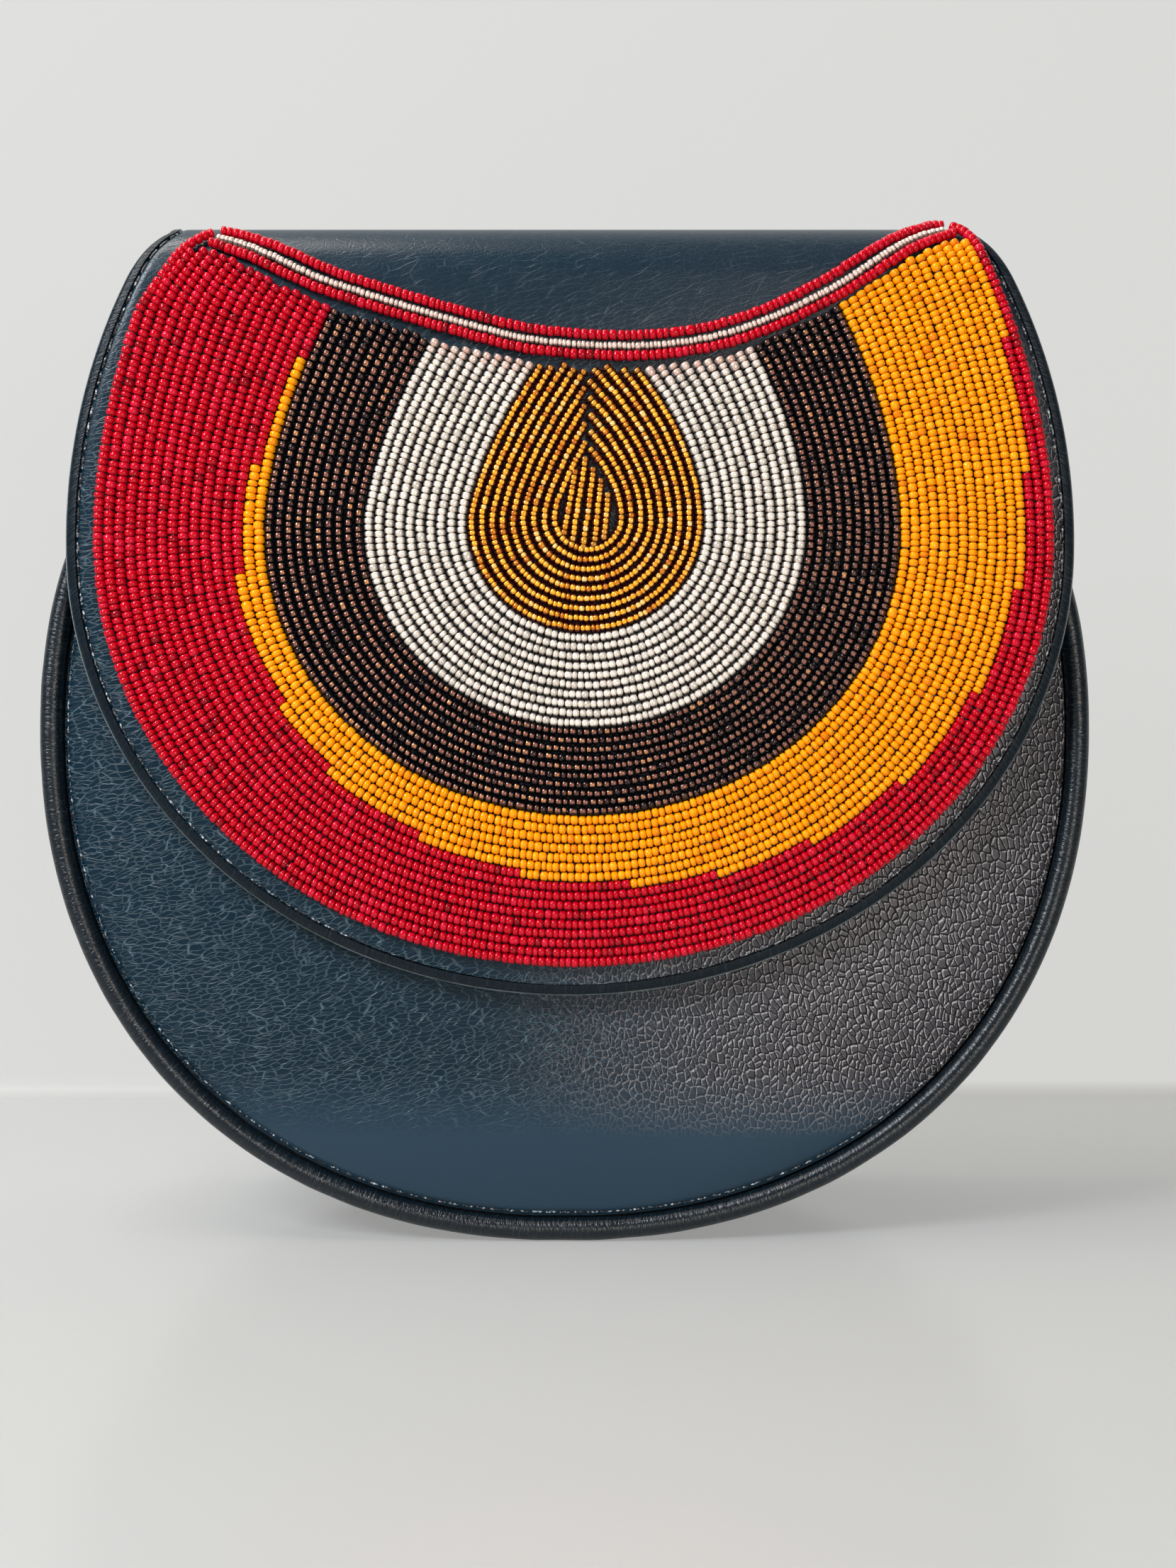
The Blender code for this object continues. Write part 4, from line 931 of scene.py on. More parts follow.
@dataclass
class Body:
    """Shell of the bag: panels, gusset, pipings, linings, boards, mouth and back trims."""

    finishes: Finishes
    shape: BodyShape = field(default_factory=BodyShape)
    board: float = 1.0 * MM
    board_depth: float = 1.7 * MM
    lining: float = 0.6 * MM
    lining_depth: float = 3.0 * MM
    lining_inset: float = 4.2 * MM
    binding_leg: float = 8.0 * MM
    binding_gap: float = 0.45 * MM
    binding_reach: float = 1.45 * MM
    facing_height: float = 18.0 * MM
    groove: float = 0.9 * MM
    groove_fade: float = 1.1 * MM
    gusset_drop: float = 1.6 * MM
    swell: float = 0.012
    stitch_pitch: float = 2.9 * MM
    stitch_inset: float = 6.0 * MM
    stitch_radius: float = 0.24 * MM

    def panel_layer(self, name: str, depth: float, thickness: float, inset: float, side: int, finish: Any,
                    slot: str, fine: bool = False) -> None:
        """One layer of the front or the back.

        Args:
            name: Node that it replaces, also the stem of its name.
            depth: Distance of its outer face from the panel's outer face.
            thickness: Its thickness.
            inset: Distance inside the outermost line.
            side: -1 for the front, 1 for the back.
            finish: Its material.
            slot: Material slot.
            fine: Whether it is a leather face, with a turned-in edge.
        """
        shape = self.shape
        heights = shape.side_heights(inset, shape.mouth, inset, 90 if fine else 40)
        if side > 0:
            heights = np.concatenate([heights, np.linspace(shape.mouth, shape.back_top, 17)[1:]])
        shares = wide_shares(84 if fine else 36)
        outer = shape.panel_points(shares, heights, depth, inset, side)
        inner = shape.panel_points(shares, heights, depth + thickness, inset, side)
        if fine:
            # The edge turns down into the seam: the drop fades with the distance from the edge as exp(-(d/fade)^2)
            drop = self.groove * np.exp(-(shape.edge_distance(outer, inset) / self.groove_fade) ** 2)
            drop = drop * (1.0 - smooth_step(outer[..., 2], shape.mouth - 1.0 * MM, shape.mouth + 6.0 * MM))
            outer[..., 1] -= side * drop
            inner[..., 1] -= side * np.minimum(drop, 0.2 * MM)
        piece = layered(outer, inner, outer[..., 0], outer[..., 2]).to_object(name + "_smooth", finish)
        settle(piece, "body", slot, name)

    def gusset_layer(self, name: str, depth: float, thickness: float, edge_gap: float, finish: Any,
                     slot: str) -> None:
        """Gusset leather or its lining: the outline carried from front to back, lower beside the seams.

        Args:
            name: Node that it replaces.
            depth: Distance of its outer face inside the body's outermost line.
            thickness: Its thickness.
            edge_gap: Distance of its edges from the seams.
            finish: Its material.
            slot: Material slot.
        """
        shape = self.shape
        shares = np.linspace(-1.0, 1.0, 33)
        drops = self.gusset_drop * smooth_step(np.abs(shares), 0.55, 1.0)
        grids = []
        for level in (depth, depth + thickness):
            paths = []
            for share, drop in zip(shares, drops):
                x, height = shape.outline(drop + level, shape.mouth, 110).T
                half_depth = shape.base_half_depth - shape.lean * height - edge_gap
                paths.append(columns(x, shape.middle_y + share * half_depth, height))
            grids.append(np.stack(paths, axis=1))
        along = distances(grids[0][:, len(shares) // 2])
        surface = layered(grids[0], grids[1], grids[0][..., 1], along[:, None])
        settle(surface.to_object(name + "_smooth", finish), "body", slot, name)

    def piping(self, name: str, side: int) -> None:
        """Piped seam: a tube round the body whose radius swells and shrinks a little, as wrapped cord does.

        Args:
            name: Node that it replaces.
            side: -1 for the front, 1 for the back.
        """
        shape = self.shape
        flat = resampled(shape.outline(shape.piping_radius, shape.mouth, 160), 0.8 * MM)
        path = columns(flat[:, 0], shape.seam_y(flat[:, 1], side), flat[:, 1])
        along = unit(np.gradient(flat, axis=0))
        outward = columns(along[:, 1], 0.0, -along[:, 0])
        places = np.arange(0, len(path) + 6, 6)
        swells = np.random.default_rng(41 + side).normal(0.0, self.swell, len(path) // 6 + 2)[:len(places)]
        radius = shape.piping_radius * (1.0 + np.interp(np.arange(len(path)), places, swells))
        surface = tube(path, outward, TO_BACK, radius, 20)
        settle(surface.to_object(name + "_wrapped", self.finishes.strap), "body", "edge_leather", name)

    def seam_stitches(self, name: str, side: int) -> None:
        """Row of stitches just inside a piped seam.

        Args:
            name: Name of the piece.
            side: -1 for the front, 1 for the back.
        """
        shape = self.shape
        outline = shape.outline(self.stitch_inset, shape.mouth - 2.0 * MM, 160)
        x, height = resampled(outline, self.stitch_pitch).T
        bulge = shape.bulge_at(x, height) if side < 0 else 0.0
        drop = self.groove * math.exp(-((self.stitch_inset - shape.panel_inset) / self.groove_fade) ** 2)
        path = columns(x, shape.seam_y(height, side) + side * (0.5 * shape.leather + bulge - drop), height)
        surface = stitched(path, side * TO_BACK, self.stitch_radius)
        settle(surface.to_object(name, self.finishes.thread), "body", "edge_leather")

    def mouth_binding(self) -> None:
        """Binding folded over the front's top edge: a U-shaped section carried across the mouth."""
        shape = self.shape
        shares, gap, reach = wide_shares(60), self.binding_gap, self.binding_reach
        levels = np.array([shape.mouth - self.binding_leg, shape.mouth])
        fronts = shape.panel_points(shares, levels, 0.0, shape.panel_inset, -1)
        backs = shape.panel_points(shares, levels, 3.6 * MM, self.lining_inset, -1)
        y, z = TO_BACK, np.array((0.0, 0.0, 1.0))
        middle = 0.5 * (fronts[1] + backs[1])
        half = 0.5 * (backs[1] - fronts[1])[:, 1]
        outer = [fronts[0] - y * reach, fronts[1] - y * reach]
        inner = [fronts[0] - y * gap, fronts[1] - y * gap]
        for angle in np.linspace(0.0, np.pi, 9)[1:-1]:
            lift = math.sin(angle)
            outer.append(middle - y * ((half + reach) * math.cos(angle))[:, None] + z * 1.3 * MM * lift)
            inner.append(middle - y * ((half + gap) * math.cos(angle))[:, None] + z * 0.3 * MM * lift)
        outer += [backs[1] + y * reach, backs[0] + y * reach]
        inner += [backs[1] + y * gap, backs[0] + y * gap]
        rings = np.stack(outer + inner[::-1], axis=1)
        lengths = fronts[1][:, 0] - fronts[1][0, 0]
        surface = skinned(rings, lengths, np.linspace(0.0, 40.0 * MM, rings.shape[1] + 1))
        settle(surface.to_object("mouth_binding_folded", self.finishes.strap), "body", "edge_leather",
               "mouth_binding")

    def back_facing(self) -> None:
        """Leather facing inside the top of the back."""
        shape = self.shape
        heights = np.linspace(shape.back_top - self.facing_height, shape.back_top, 13)
        z, x = np.meshgrid(heights, shape.back_top_half_width * wide_shares(40), indexing="ij")
        outer, inner = (columns(x, shape.seam_y(z, 1) + 0.5 * shape.leather - depth, z)
                        for depth in (3.9 * MM, 4.9 * MM))
        settle(layered(outer, inner, x, z).to_object("back_facing_smooth", self.finishes.leather), "body",
               "pebbled_leather", "back_facing")

    def build(self) -> None:
        """Make every piece of the shell."""
        leather, board, lining = self.finishes.leather, self.finishes.board, self.finishes.lining
        inset = self.shape.panel_inset
        for word, side in (("front", -1), ("back", 1)):
            self.panel_layer(word + "_panel", 0.0, self.shape.leather, inset, side, leather, "pebbled_leather",
                             fine=True)
            self.panel_layer(word + "_board", self.board_depth, self.board, inset + 0.3 * MM, side, board,
                             "stiffening_board")
            self.panel_layer(word + "_lining", self.lining_depth, self.lining, self.lining_inset, side, lining,
                             "cotton_lining")
            self.piping(word + "_piping", side)
            self.seam_stitches(word + "_seam_stitches", side)
        self.gusset_layer("gusset", 0.0, self.shape.leather, 2.7 * MM, leather, "pebbled_leather")
        self.gusset_layer("gusset_lining", 1.7 * MM, self.lining, 3.2 * MM, lining, "cotton_lining")
        self.mouth_binding()
        self.back_facing()


def stitched(path: Array, outward: Array, radius: float, cover: float = 0.78) -> Surface:
    """Stitches along a path whose points are one pitch apart.

    Args:
        path: Points where the needle went in.
        outward: Direction away from the leather at each point, or one for all.
        radius: Radius of the thread.
        cover: Share of each pitch that its stitch covers.

    Returns:
        All the stitches as one surface.
    """
    middle, half = 0.5 * (path[1:] + path[:-1]), 0.5 * cover * (path[1:] - path[:-1])
    away = np.broadcast_to(outward, path.shape)[:-1]
    up, count = away * radius * 0.55, len(middle)
    size = np.full(count, radius)
    return STITCH_GRAIN.strung(middle - half + up, middle + half + up, away, size, size, np.full(count, 0.5),
                               np.zeros(count))


# Flap

@dataclass(frozen=True)
class FlapShape:
    """Sizes of the flap, as in the solid model; distances along the leather are counted from the tip."""

    body: BodyShape = field(default_factory=BodyShape)
    centre_x: float = 1.2 * MM
    half_width: float = 103.6 * MM
    lower_reach: float = 92.3 * MM
    upper_reach: float = 113.0 * MM
    top_half_width: float = 83.5 * MM
    tip_height: float = 52.5 * MM
    top_height: float = 211.3 * MM
    front_roll: float = 12.0 * MM
    back_roll: float = 10.0 * MM
    edge_curl: float = 2.0 * MM
    stack: float = 3.4 * MM
    hinge_height: float = 197.3 * MM
    snap_along: float = 30.0 * MM

    @property
    def lean(self) -> float:
        """Angle that the flap's face leans back."""
        return math.atan(self.body.lean)

    @property
    def roll_height(self) -> float:
        """Height where the front roll starts."""
        return self.top_height - self.front_roll + self.front_roll * math.sin(self.lean)

    @property
    def front_length(self) -> float:
        """Distance along the flat front, from the tip to the front roll."""
        return (self.roll_height - self.tip_height) / math.cos(self.lean)

    @property
    def snap_curl(self) -> float:
        """Curl of the flap at the snap."""
        return float(self.curl(0.0, self.snap_along))

    @property
    def snap_space(self) -> float:
        """Space between flap and front that the snap fills."""
        return 2.9 * MM + self.snap_curl

    @property
    def standoff(self) -> float:
        """Distance of the flap's face from the front seam's plane."""
        return 0.5 * self.body.leather + self.body.bulge + self.snap_space + self.stack

    @property
    def roll_y(self) -> float:
        """Y of the front roll's centre."""
        return self.body.seam_y(self.roll_height, -1) - self.standoff + self.front_roll * math.cos(self.lean)

    @property
    def hinge_y(self) -> float:
        """Y of the flap's outer face behind the back."""
        return self.body.seam_y(self.hinge_height, 1) + self.body.sewn_gap

    @property
    def marks(self) -> tuple[float, float, float, float]:
        """Distances along the leather where the front roll, the top, the back roll and the flap end.

        Returns:
            The four distances from the tip.
        """
        roll_end = self.front_length + self.front_roll * (0.5 * math.pi - self.lean)
        top_end = roll_end + self.hinge_y - self.back_roll - self.roll_y
        back_end = top_end + self.back_roll * 0.5 * math.pi
        rise = self.top_height - self.back_roll - self.hinge_height - 0.15 * MM
        return roll_end, top_end, back_end, back_end + rise

    @property
    def rim_end(self) -> float:
        """Distance along the leather where its rolled edge and its lining end, short of the hinge."""
        return self.marks[3] - 3.0 * MM

    def curl(self, x: Array, along: Array) -> Array:
        """Turn of the edges towards the body: curl x fade x (distance from the middle as a share) ^ 4."""
        fall = np.maximum(0.0, self.lower_reach - along) / self.lower_reach
        distance = np.hypot((x - self.centre_x) / self.half_width, fall)
        fade = np.clip((self.front_length - along) / (self.front_length - self.lower_reach), 0.0, 1.0)
        return self.edge_curl * fade * np.minimum(distance, 1.0) ** 4

    def profile(self, along: Array) -> tuple[Array, Array]:
        """Section of the outer face: a leaning line, a roll, a level top, a second roll and a drop.

        Args:
            along: Distances along the leather from the tip.

        Returns:
            (y, z) of the outer face, and its (y, z) normal.
        """
        roll_end, top_end, back_end, _ = self.marks
        height = self.roll_height - (self.front_length - along) * math.cos(self.lean)
        front = columns(self.body.seam_y(height, -1) - self.standoff, height)
        angle = self.lean + (along - self.front_length) / self.front_roll
        roll_normal = columns(-np.cos(angle), np.sin(angle))
        roll = np.array([self.roll_y, self.top_height - self.front_roll]) + self.front_roll * roll_normal
        top = columns(self.roll_y + along - roll_end, self.top_height)
        turn = (along - top_end) / self.back_roll
        back_normal = columns(np.sin(turn), np.cos(turn))
        back = np.array([self.hinge_y, self.top_height]) - self.back_roll + self.back_roll * back_normal
        drop = columns(self.hinge_y, self.top_height - self.back_roll - (along - back_end))
        tests = [(along <= limit)[..., None] for limit in (self.front_length, roll_end, top_end, back_end)]
        front_normal = np.array([-math.cos(self.lean), math.sin(self.lean)])
        normals = [front_normal, roll_normal, np.array([0.0, 1.0]), back_normal]
        return np.select(tests, [front, roll, top, back], drop), np.select(tests, normals, np.array([1.0, 0.0]))

    def point(self, x: Array, along: Array, depth: Any) -> Array:
        """Points of the flap: the outer face less the normal x (depth + curl)."""
        spot, normal = self.profile(along)
        inward = (depth + self.curl(x, along))[..., None]
        return np.concatenate([np.asarray(x)[..., None], spot - normal * inward], axis=-1)

    def normal(self, along: Array) -> Array:
        """Outward normals of the flap's face."""
        _, normal = self.profile(along)
        return np.concatenate([np.zeros(normal.shape[:-1] + (1,)), normal], axis=-1)

    def half_width_at(self, along: Array, inset: float) -> Array:
        """Half width: an ellipse below the widest line, a flatter one above it that ends at the top width."""
        fall = np.clip((self.lower_reach - along) / (self.lower_reach - inset), 0.0, 1.0)
        rise = np.clip((along - self.lower_reach) / self.upper_reach, 0.0, 1.0)
        lower = (self.half_width - inset) * np.sqrt(1.0 - fall * fall)
        upper = np.maximum(self.half_width * np.sqrt(1.0 - rise * rise), self.top_half_width) - inset
        return np.where(along < self.lower_reach, lower, upper)

    def levels(self, inset: float, end: float) -> Array:
        """Rows from the tip to an end: crowded at the tip as reach x (1 - cos a), then even, finer in the rolls.

        Args:
            inset: Distance inside the flap's edge.
            end: Distance along the leather of the last row.

        Returns:
            Distance along the leather of each row.
        """
        tip = self.lower_reach - (self.lower_reach - inset) * np.cos(np.linspace(0.06, 0.5 * np.pi, 44)[:-1])
        ends = (self.lower_reach, self.front_length, *self.marks)
        parts = [np.linspace(low, high, count)[:-1]
                 for low, high, count in zip(ends, ends[1:], (25, 15, 12, 15, 4))]
        every = np.concatenate([tip, *parts, [ends[-1]]])
        return np.concatenate([every[every < end - 0.1 * MM], [end]])

    def edge(self, inset: float, step: float, end: float) -> Array:
        """(x, along) points at equal distances round the edge, from the left end at the back round the tip.

        Args:
            inset: Distance inside the flap's edge.
            step: Distance between the points.
            end: Distance along the leather where both ends lie.

        Returns:
            The points on the flat leather.
        """
        turn = np.linspace(0.0, 0.5 * np.pi, 200)
        tip = columns((self.half_width - inset) * np.sin(turn),
                      self.lower_reach - (self.lower_reach - inset) * np.cos(turn))
        up = np.linspace(self.lower_reach, end, 200)[1:]
        right = np.concatenate([tip, columns(self.half_width_at(up, inset), up)])
        whole = np.concatenate([(right * (-1.0, 1.0))[:0:-1], right]) + (self.centre_x, 0.0)
        return resampled(whole, step)


@dataclass
class Flap:
    """Leather, board, lining, rolled edge and stitching of the flap.

    The leather dips beside its rolled edge, by the edge dip x exp(-(distance / reach)^2), and the stitches lie there.
    """

    finishes: Finishes
    shape: FlapShape = field(default_factory=FlapShape)
    inset: float = 2.3 * MM
    edge_dip: float = 0.7 * MM
    dip_reach: float = 0.8 * MM
    stitch_inset: float = 2.8 * MM
    stitch_depth: float = 0.45 * MM
    stitch_pitch: float = 3.5 * MM
    anchor_rows: Pair = (26.0 * MM, 9.0 * MM)
    bend: float = 3.0 * MM

    def layer(self, name: str, depth: float, thickness: float, inset: float, end: float, finish: Any,
              slot: str, fine: bool = False) -> None:
        """One layer of the flap.

        Args:
            name: Node that it replaces.
            depth: Distance of its outer face below the flap's face.
            thickness: Its thickness.
            inset: Distance inside the flap's edge.
            end: Distance along the leather where it ends.
            finish: Its material.
            slot: Material slot.
            fine: Whether it is the leather, whose edge dips towards the rolled rim.
        """
        shape = self.shape
        levels = shape.levels(inset, end)
        shares = wide_shares(72 if fine else 32)
        along, share = np.meshgrid(levels, shares, indexing="ij")
        half = shape.half_width_at(along, inset)
        x = shape.centre_x + share * half
        lower = np.maximum(levels[:, None] - inset, 0.0)
        distance = np.minimum(half * (1.0 - np.abs(share)), np.where(along < shape.lower_reach, lower + 9.0 * MM, 1.0))
        dip = self.edge_dip * np.exp(-(distance / self.dip_reach) ** 2) if fine else 0.0
        surface = layered(shape.point(x, along, depth + dip), shape.point(x, along, depth + thickness), x, along)
        settle(surface.to_object(name + "_smooth", finish), "flap", slot, name)

    def hinge_leather(self) -> None:
        """Leather that goes on down the back from the flap and is sewn there; from the back's lean it turns upright at
        the hinge.
        """
        shape = self.shape
        hinge, high = shape.hinge_height, shape.top_height - shape.back_roll
        heights = np.concatenate([np.linspace(hinge - 30.0 * MM, hinge - 5.0 * MM, 14)[:-1],
                                  np.linspace(hinge - 5.0 * MM, high, 22)])
        z, share = np.meshgrid(heights, wide_shares(60), indexing="ij")
        above = smooth_step(z, hinge - 6.0 * MM, high)
        x = share * lerp(shape.top_half_width, shape.top_half_width - 2.3 * MM, above) + shape.centre_x * above
        outer = columns(x, np.maximum(shape.body.seam_y(z, 1) + shape.body.sewn_gap, shape.hinge_y), z)
        surface = layered(outer, outer - shape.body.leather * TO_BACK, x, z)
        piece = surface.to_object("flap_hinge_leather", self.finishes.leather)
        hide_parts("flap_anchor")
        shape.hinge_y
        shape.hinge_y
        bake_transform(piece)
        LOG.info("%s: %d faces across the hinge", piece.name, len(piece.data.polygons))

    def anchor_stitches(self) -> None:
        """Two rows of stitches through the hinge leather into the back."""
        shape = self.shape
        x = np.linspace(-79.0 * MM, 79.0 * MM, 46)
        both = None
        for below in self.anchor_rows:
            height = shape.hinge_height - below
            path = columns(x, shape.body.seam_y(height, 1) + shape.body.sewn_gap, height)
            row = stitched(path, TO_BACK, 0.26 * MM)
            both = row if both is None else both.joined(row)
        settle(both.to_object("anchor_stitches", self.finishes.thread), "body", "edge_leather")

    def binding(self) -> None:
        """Rolled edge: a half-round section, 2.3 mm wide and as thick as the flap, carried round the edge."""
        shape = self.shape
        outer = shape.edge(0.0, 1.0 * MM, shape.rim_end)
        inner = shape.edge(self.inset, 1.0 * MM, shape.rim_end)
        inner = columns(*(np.interp(np.linspace(0.0, 1.0, len(outer)), np.linspace(0.0, 1.0, len(inner)), column)
                          for column in inner.T))
        turn = np.linspace(-0.5 * np.pi, 0.5 * np.pi, 13)
        half = 0.5 * shape.stack + 0.1 * MM
        out_share = np.abs(np.cos(turn)) ** 0.6
        rings = []
        for reach, rise in zip(out_share, np.sin(turn)):
            spot = lerp(inner, outer, reach)
            rings.append(shape.point(spot[:, 0], spot[:, 1], 0.5 * shape.stack + half * rise))
        rings.append(shape.point(inner[:, 0], inner[:, 1], 0.5 * shape.stack))
        surface = skinned(np.stack(rings, axis=1), distances(outer), np.linspace(0.0, 9.0 * MM, len(rings) + 1))
        settle(surface.to_object("flap_binding_rolled", self.finishes.rim), "flap", "edge_leather", "flap_binding")

    def edge_stitches(self) -> None:
        """Stitches round the flap, in the dip beside its rolled edge."""
        shape = self.shape
        flat = shape.edge(self.stitch_inset, self.stitch_pitch, shape.marks[1])
        path = shape.point(flat[:, 0], flat[:, 1], self.stitch_depth)
        surface = stitched(path, shape.normal(flat[:, 1]), 0.3 * MM)
        settle(surface.to_object("flap_edge_stitches", self.finishes.thread), "flap", "edge_leather")

    def build(self) -> None:
        """Make every piece of the flap but its beads."""
        shape, finishes, inset = self.shape, self.finishes, self.inset
        self.layer("flap_leather", 0.0, 1.4 * MM, inset, shape.marks[2], finishes.leather, "pebbled_leather", True)
        self.layer("flap_board", 1.7 * MM, 0.8 * MM, 6.0 * MM, shape.front_length, finishes.board, "stiffening_board")
        self.layer("flap_lining", 2.8 * MM, 0.6 * MM, inset, shape.rim_end, finishes.lining, "cotton_lining")
        self.binding()
        self.edge_stitches()
        self.hinge_leather()
        self.anchor_stitches()


# Beads

class BeadKind(Enum):
    """Colours of the beads: name of the node, and stem of the piece, for the loops' beads of that colour."""

    RED = "red_beads"
    YELLOW = "yellow_beads"
    BROWN = "brown_beads"
    SILVER = "silver_beads"
    GOLD = "gold_beads"


BEAD_FINISHES = {
    BeadKind.RED: OpaqueBead("red_beads", "#bc001a", "#cc0e2e", "#880010"),
    BeadKind.YELLOW: OpaqueBead("yellow_beads", "#f69a00", "#fea80a", "#e67c00"),
    BeadKind.BROWN: LinedBead("brown_beads", "#1c0e10", "#8a5644", "#e09a5a", "#0c070a", "#4a2c22", 0.05, 0.28),
    BeadKind.SILVER: LinedBead("silver_beads", "#cfc4b6", "#f2e8da", "#fff8ee", "#746c66", "#d8a898", 0.085, 0.45),
    BeadKind.GOLD: LinedBead("gold_beads", "#c46408", "#ffb42c", "#fff4ac", "#3c0c02", "#a86414", 0.06, 0.45),
}
# Usual length of a bead along its thread
BEAD_LENGTHS = {BeadKind.RED: 1.43 * MM, BeadKind.BROWN: 1.43 * MM, BeadKind.SILVER: 1.40 * MM,
                BeadKind.GOLD: 1.10 * MM}


@dataclass(frozen=True)
class Band:
    """Rows of one group: how many, and their spacing at the left, the right and the bottom."""

    kind: BeadKind
    rows: int
    pitch: tuple[float, float, float]


@dataclass(frozen=True)
class NeckRow:
    """One row of the neckline: its distance above the middle one, and the places of its two ends in millimetres."""

    piece: str
    kind: BeadKind
    offset: float
    width: float
    scale: float
    left: Pairs = ()
    right: Pairs = ()


@dataclass
class BeadPattern:
    """Nested open loops of beads under a curved neckline; every row is strung on its own thread.

    Places are pairs of millimetres: x, and the distance along the leather from the flap's tip.
    """

    flap: FlapShape = field(default_factory=FlapShape)
    bands: tuple[Band, ...] = (
        Band(BeadKind.GOLD, 9, (2.10 * MM, 1.97 * MM, 1.99 * MM)),
        Band(BeadKind.SILVER, 10, (2.09 * MM, 2.08 * MM, 1.92 * MM)),
        Band(BeadKind.BROWN, 10, (2.02 * MM, 1.91 * MM, 1.78 * MM)),
        Band(BeadKind.RED, 16, (2.20 * MM, 1.975 * MM, 1.93 * MM)),
    )
    inner_left: float = -0.9 * MM
    inner_right: float = 10.75 * MM
    inner_bottom: float = 92.0 * MM
    inner_widest: float = 97.8 * MM
    outer_widest: float = 93.0 * MM
    diameter: float = 2.1 * MM
    lift: float = 0.3 * MM
    axis_gap: float = 0.35 * MM
    neck: Pairs = (
        (-71.0, 155.1), (-66.0, 153.6), (-60.0, 151.0), (-50.4, 146.5), (-41.8, 143.6), (-29.0, 139.6), (-19.4, 136.9),
        (-8.8, 134.0), (2.1, 132.8), (12.3, 132.4), (22.4, 132.9), (32.5, 134.7), (44.0, 138.9), (55.4, 144.7),
        (62.4, 149.2), (69.7, 153.8), (75.0, 156.7), (77.9, 157.3))
    neck_rows: tuple[NeckRow, ...] = (
        NeckRow("neckline_upper_row", BeadKind.RED, 2.2 * MM, 2.15 * MM, 0.96, ((-70.4, 156.8), (-69.0, 157.0)),
                ((75.4, 160.0), (76.8, 160.25), (78.4, 159.7))),
        NeckRow("neckline_middle_row", BeadKind.SILVER, 0.0, 1.75 * MM, 0.68),
        NeckRow("neckline_lower_row", BeadKind.RED, -1.95 * MM, 2.15 * MM, 0.96, ((-72.6, 153.5), (-71.2, 153.7)),
                ((78.6, 156.0), (80.2, 156.5))),
    )
    # Where the outermost row leaves its loop and turns in to meet the neckline's upper row
    left_turn: Pairs = (
        (-71.9, 156.5), (-73.1, 155.8), (-75.5, 154.0), (-77.6, 152.15), (-79.5, 149.75), (-81.1, 147.4),
        (-83.0, 145.0), (-84.7, 142.5))
    right_turn: Pairs = (
        (86.2, 148.2), (85.15, 150.6), (84.15, 153.3), (82.8, 155.7), (81.9, 156.8), (81.1, 158.0), (79.7, 159.2))
    # How far below the neckline's lower row the loops end, for some x
    margins: Pairs = (
        (-72.0, 0.0), (-66.0, 0.9), (-58.0, 1.8), (-40.0, 1.9), (10.0, 1.5), (40.0, 1.2), (66.0, 0.9), (74.0, 1.0),
        (79.0, 0.2))
    # Angle round each loop of the outer group, in degrees, where its thread changes from red to yellow
    switch: tuple[float, ...] = (-17.7, -6.6, 7.2, 32.7, 46.4, 65.2, 81.1, 97.7, 110.1, 123.8, 139.1, 156.2, 172.5,
                                 185.0, 194.8)

    def __post_init__(self) -> None:
        """Round the neckline once."""
        self.curve = smoothed(np.array(self.neck) * MM, 5.0 * MM)

    def neckline(self, x: Array) -> Array:
        """Distance along the leather of the neckline's middle row."""
        return np.interp(x, self.curve[:, 0], self.curve[:, 1])

    def lines(self) -> list[Array]:
        """Lines between the groups of rows.

        Returns:
            Left, right, bottom and widest level of each line, from the innermost out.
        """
        lines = [np.array([self.inner_left, self.inner_right, self.inner_bottom, self.inner_widest])]
        total, done = sum(band.rows for band in self.bands), 0
        for band in self.bands:
            done += band.rows
            left, right, bottom, _ = lines[-1]
            widest = lerp(self.inner_widest, self.outer_widest, done / total)
            lines.append(np.array([left - band.rows * band.pitch[0], right + band.rows * band.pitch[1],
                                   bottom - band.rows * band.pitch[2], widest]))
        return lines

    def loop(self, line: Array, angles: Array) -> Array:
        """(x, along) on a loop: an ellipse below its widest line and a pointed arch above it.

        Below, x = centre - half width x cos a and along = widest - (widest - bottom) x sin a. Above, with
        t = |sin a|, x lies half width x (1 - t^p) beside the centre and along = widest + reach x t. Near the top
        left corner every row leans in by 0.018/mm x (along - 138 mm)^2.

        Args:
            line: Left, right, bottom and widest level of the loop.
            angles: 0 at its left, a quarter turn at its bottom, negative and past half a turn above.

        Returns:
            Points on the flat leather.
        """
        left, right, bottom, widest = line
        half = 0.5 * (right - left)
        turn = 1.0 - math.exp(-half / (5.0 * MM))
        on_right, above = angles > 0.5 * np.pi, (angles < 0.0) | (angles > np.pi)
        rise = np.abs(np.sin(angles))
        reach = np.where(on_right, 4.1 * MM * turn + 1.64 * half, 6.1 * MM * turn + 1.66 * half)
        power = np.where(on_right, 1.88, 1.31 + half / (167.0 * MM))
        aside = np.where(above, 1.0 - rise ** power, np.abs(np.cos(angles)))
        along = widest + rise * np.where(above, reach, bottom - widest)
        lean = np.where(on_right, 0.0, 0.018 / MM * np.maximum(along - 138.0 * MM, 0.0) ** 2)
        return columns(0.5 * (left + right) + half * aside * np.where(on_right, 1.0, -1.0) + lean, along)

